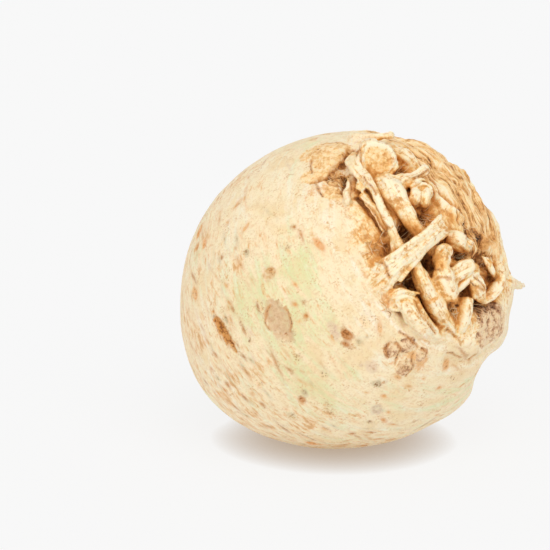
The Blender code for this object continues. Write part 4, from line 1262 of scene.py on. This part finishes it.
hair_draw = random.Random(23)
hairs = bmesh.new()
for nest_u, nest_v, nest_radius, number in HAIR_NESTS:
    for _ in range(number):
        heading = hair_draw.uniform(0, 2 * math.pi)
        off = nest_radius * math.sqrt(hair_draw.random())
        at_u, at_v = nest_u + off * math.cos(heading), nest_v + off * math.sin(heading)
        heading, bend = hair_draw.uniform(0, 2 * math.pi), hair_draw.gauss(0, 0.2)
        radius = hair_draw.uniform(*HAIR_RADIUS)
        path = []
        for _ in range(round(hair_draw.uniform(*HAIR_LENGTH) / HAIR_STEP)):
            point, stands_out = surface_point(at_u, at_v, hair_draw.uniform(*HAIR_LIFT))
            if stands_out > HAIR_REACH:
                break
            path.append(point)
            heading += bend + hair_draw.gauss(0, 0.2)
            at_u += HAIR_STEP * math.cos(heading)
            at_v += HAIR_STEP * math.sin(heading)
        if len(path) < FEWEST_STEPS:
            continue
        taper = np.sin(np.linspace(0.35, math.pi - 0.15, len(path)))
        hair = tube_mesh(np.column_stack([np.array(path), radius * taper]), HAIR_SIDES, "hair")
        hairs.from_mesh(hair)
        bpy.data.meshes.remove(hair)
hair_data = mesh_data(hairs, "hair_roots")
hair_data.transform(own_to_frame)
hair_data.shade_smooth()

# Dried root hair: cellulose gone brown, each strand its own shade, with no gloss.
dried_hair, hair_tree, hair_shader = new_material("dried_root_hair")
which_hair = add_node(hair_tree, "ShaderNodeNewGeometry").outputs["Random Per Island"]
along_hair = add_node(hair_tree, "ShaderNodeTexNoise", {
    "Vector": add_node(hair_tree, "ShaderNodeTexCoord").outputs["Object"], "Scale": 1 / (1.5 * MM),
}).outputs["Fac"]
shade_of_hair = add_node(hair_tree, "ShaderNodeMath", {
    0: along_hair, 1: 0.5, 2: which_hair,
}, operation="MULTIPLY_ADD").outputs[0]
HAIR_TONES = ((0.25, "#AE7234"), (0.65, "#E0AA62"), (1.0, "#F6DDB0"))
hair_colour = tone_ramp(hair_tree, shade_of_hair, HAIR_TONES)
hair_tree.links.new(hair_colour, hair_shader.inputs["Base Color"])
hair_shader.inputs["Roughness"].default_value = 0.8
hair_data.materials.append(dried_hair)
hair_roots = add_object("hair_roots", hair_data)
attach(hair_roots, "root")

# The table and the light.
# A white sweep lit from above that also glows, as a shop's light table does, so that the ground stays
# near white; the small soft shadow where the root touches it is painted into that glow.
SWEEP_HALF_WIDTH = 4.0
sweep_mesh = bmesh.new()
bmesh.ops.create_grid(sweep_mesh, x_segments=1, y_segments=1, size=SWEEP_HALF_WIDTH)
sweep_data = mesh_data(sweep_mesh, "paper_sweep")
sweep = add_object("paper_sweep", sweep_data)
paper, paper_tree, paper_shader = new_material("white_paper_with_painted_shadow")
paper_shader.inputs["Base Color"].default_value = linear("#646464")
paper_shader.inputs["Roughness"].default_value = 1.0
paper_shader.inputs["Specular IOR Level"].default_value = 0.0
# Painted contact shadow: the paper's glow dims to a brown grey where the root comes within this reach.
SHADOW_REACH = 13 * MM
closeness = add_node(
    paper_tree, "ShaderNodeAmbientOcclusion", {"Distance": SHADOW_REACH}, samples=8
)
glow_with_painted_shadow = add_node(paper_tree, "ShaderNodeMix", {
    0: closeness.outputs["AO"], 6: linear("#B5A390"), 7: linear("#EFEFEF"),
}, data_type="RGBA").outputs[2]
paper_tree.links.new(glow_with_painted_shadow, paper_shader.inputs["Emission Color"])
paper_shader.inputs["Emission Strength"].default_value = 0.94
sweep_data.materials.append(paper)

world = bpy.data.worlds.new("studio")
world.use_nodes = True
world.node_tree.nodes["Background"].inputs["Color"].default_value = linear("#FFFFFF")
world.node_tree.nodes["Background"].inputs["Strength"].default_value = 0.74
bpy.context.scene.world = world

# name, strength, degrees above the table, degrees round from the camera's right, softness
SOFT_BOXES = (("overhead_box", 0.80, 50, 70, 50), ("left_box", 0.45, 25, 125, 40))
for name, strength, above, round_from_right, softness in SOFT_BOXES:
    lamp = bpy.data.lights.new(name, "SUN")
    lamp.energy = strength
    lamp.angle = math.radians(softness)
    box = add_object(name, lamp)
    a, e = math.radians(round_from_right), math.radians(above)
    shines_from = Vector((math.cos(a) * math.cos(e), -math.sin(a) * math.cos(e), math.sin(e)))
    box.rotation_euler = shines_from.to_track_quat("Z", "Y").to_euler()
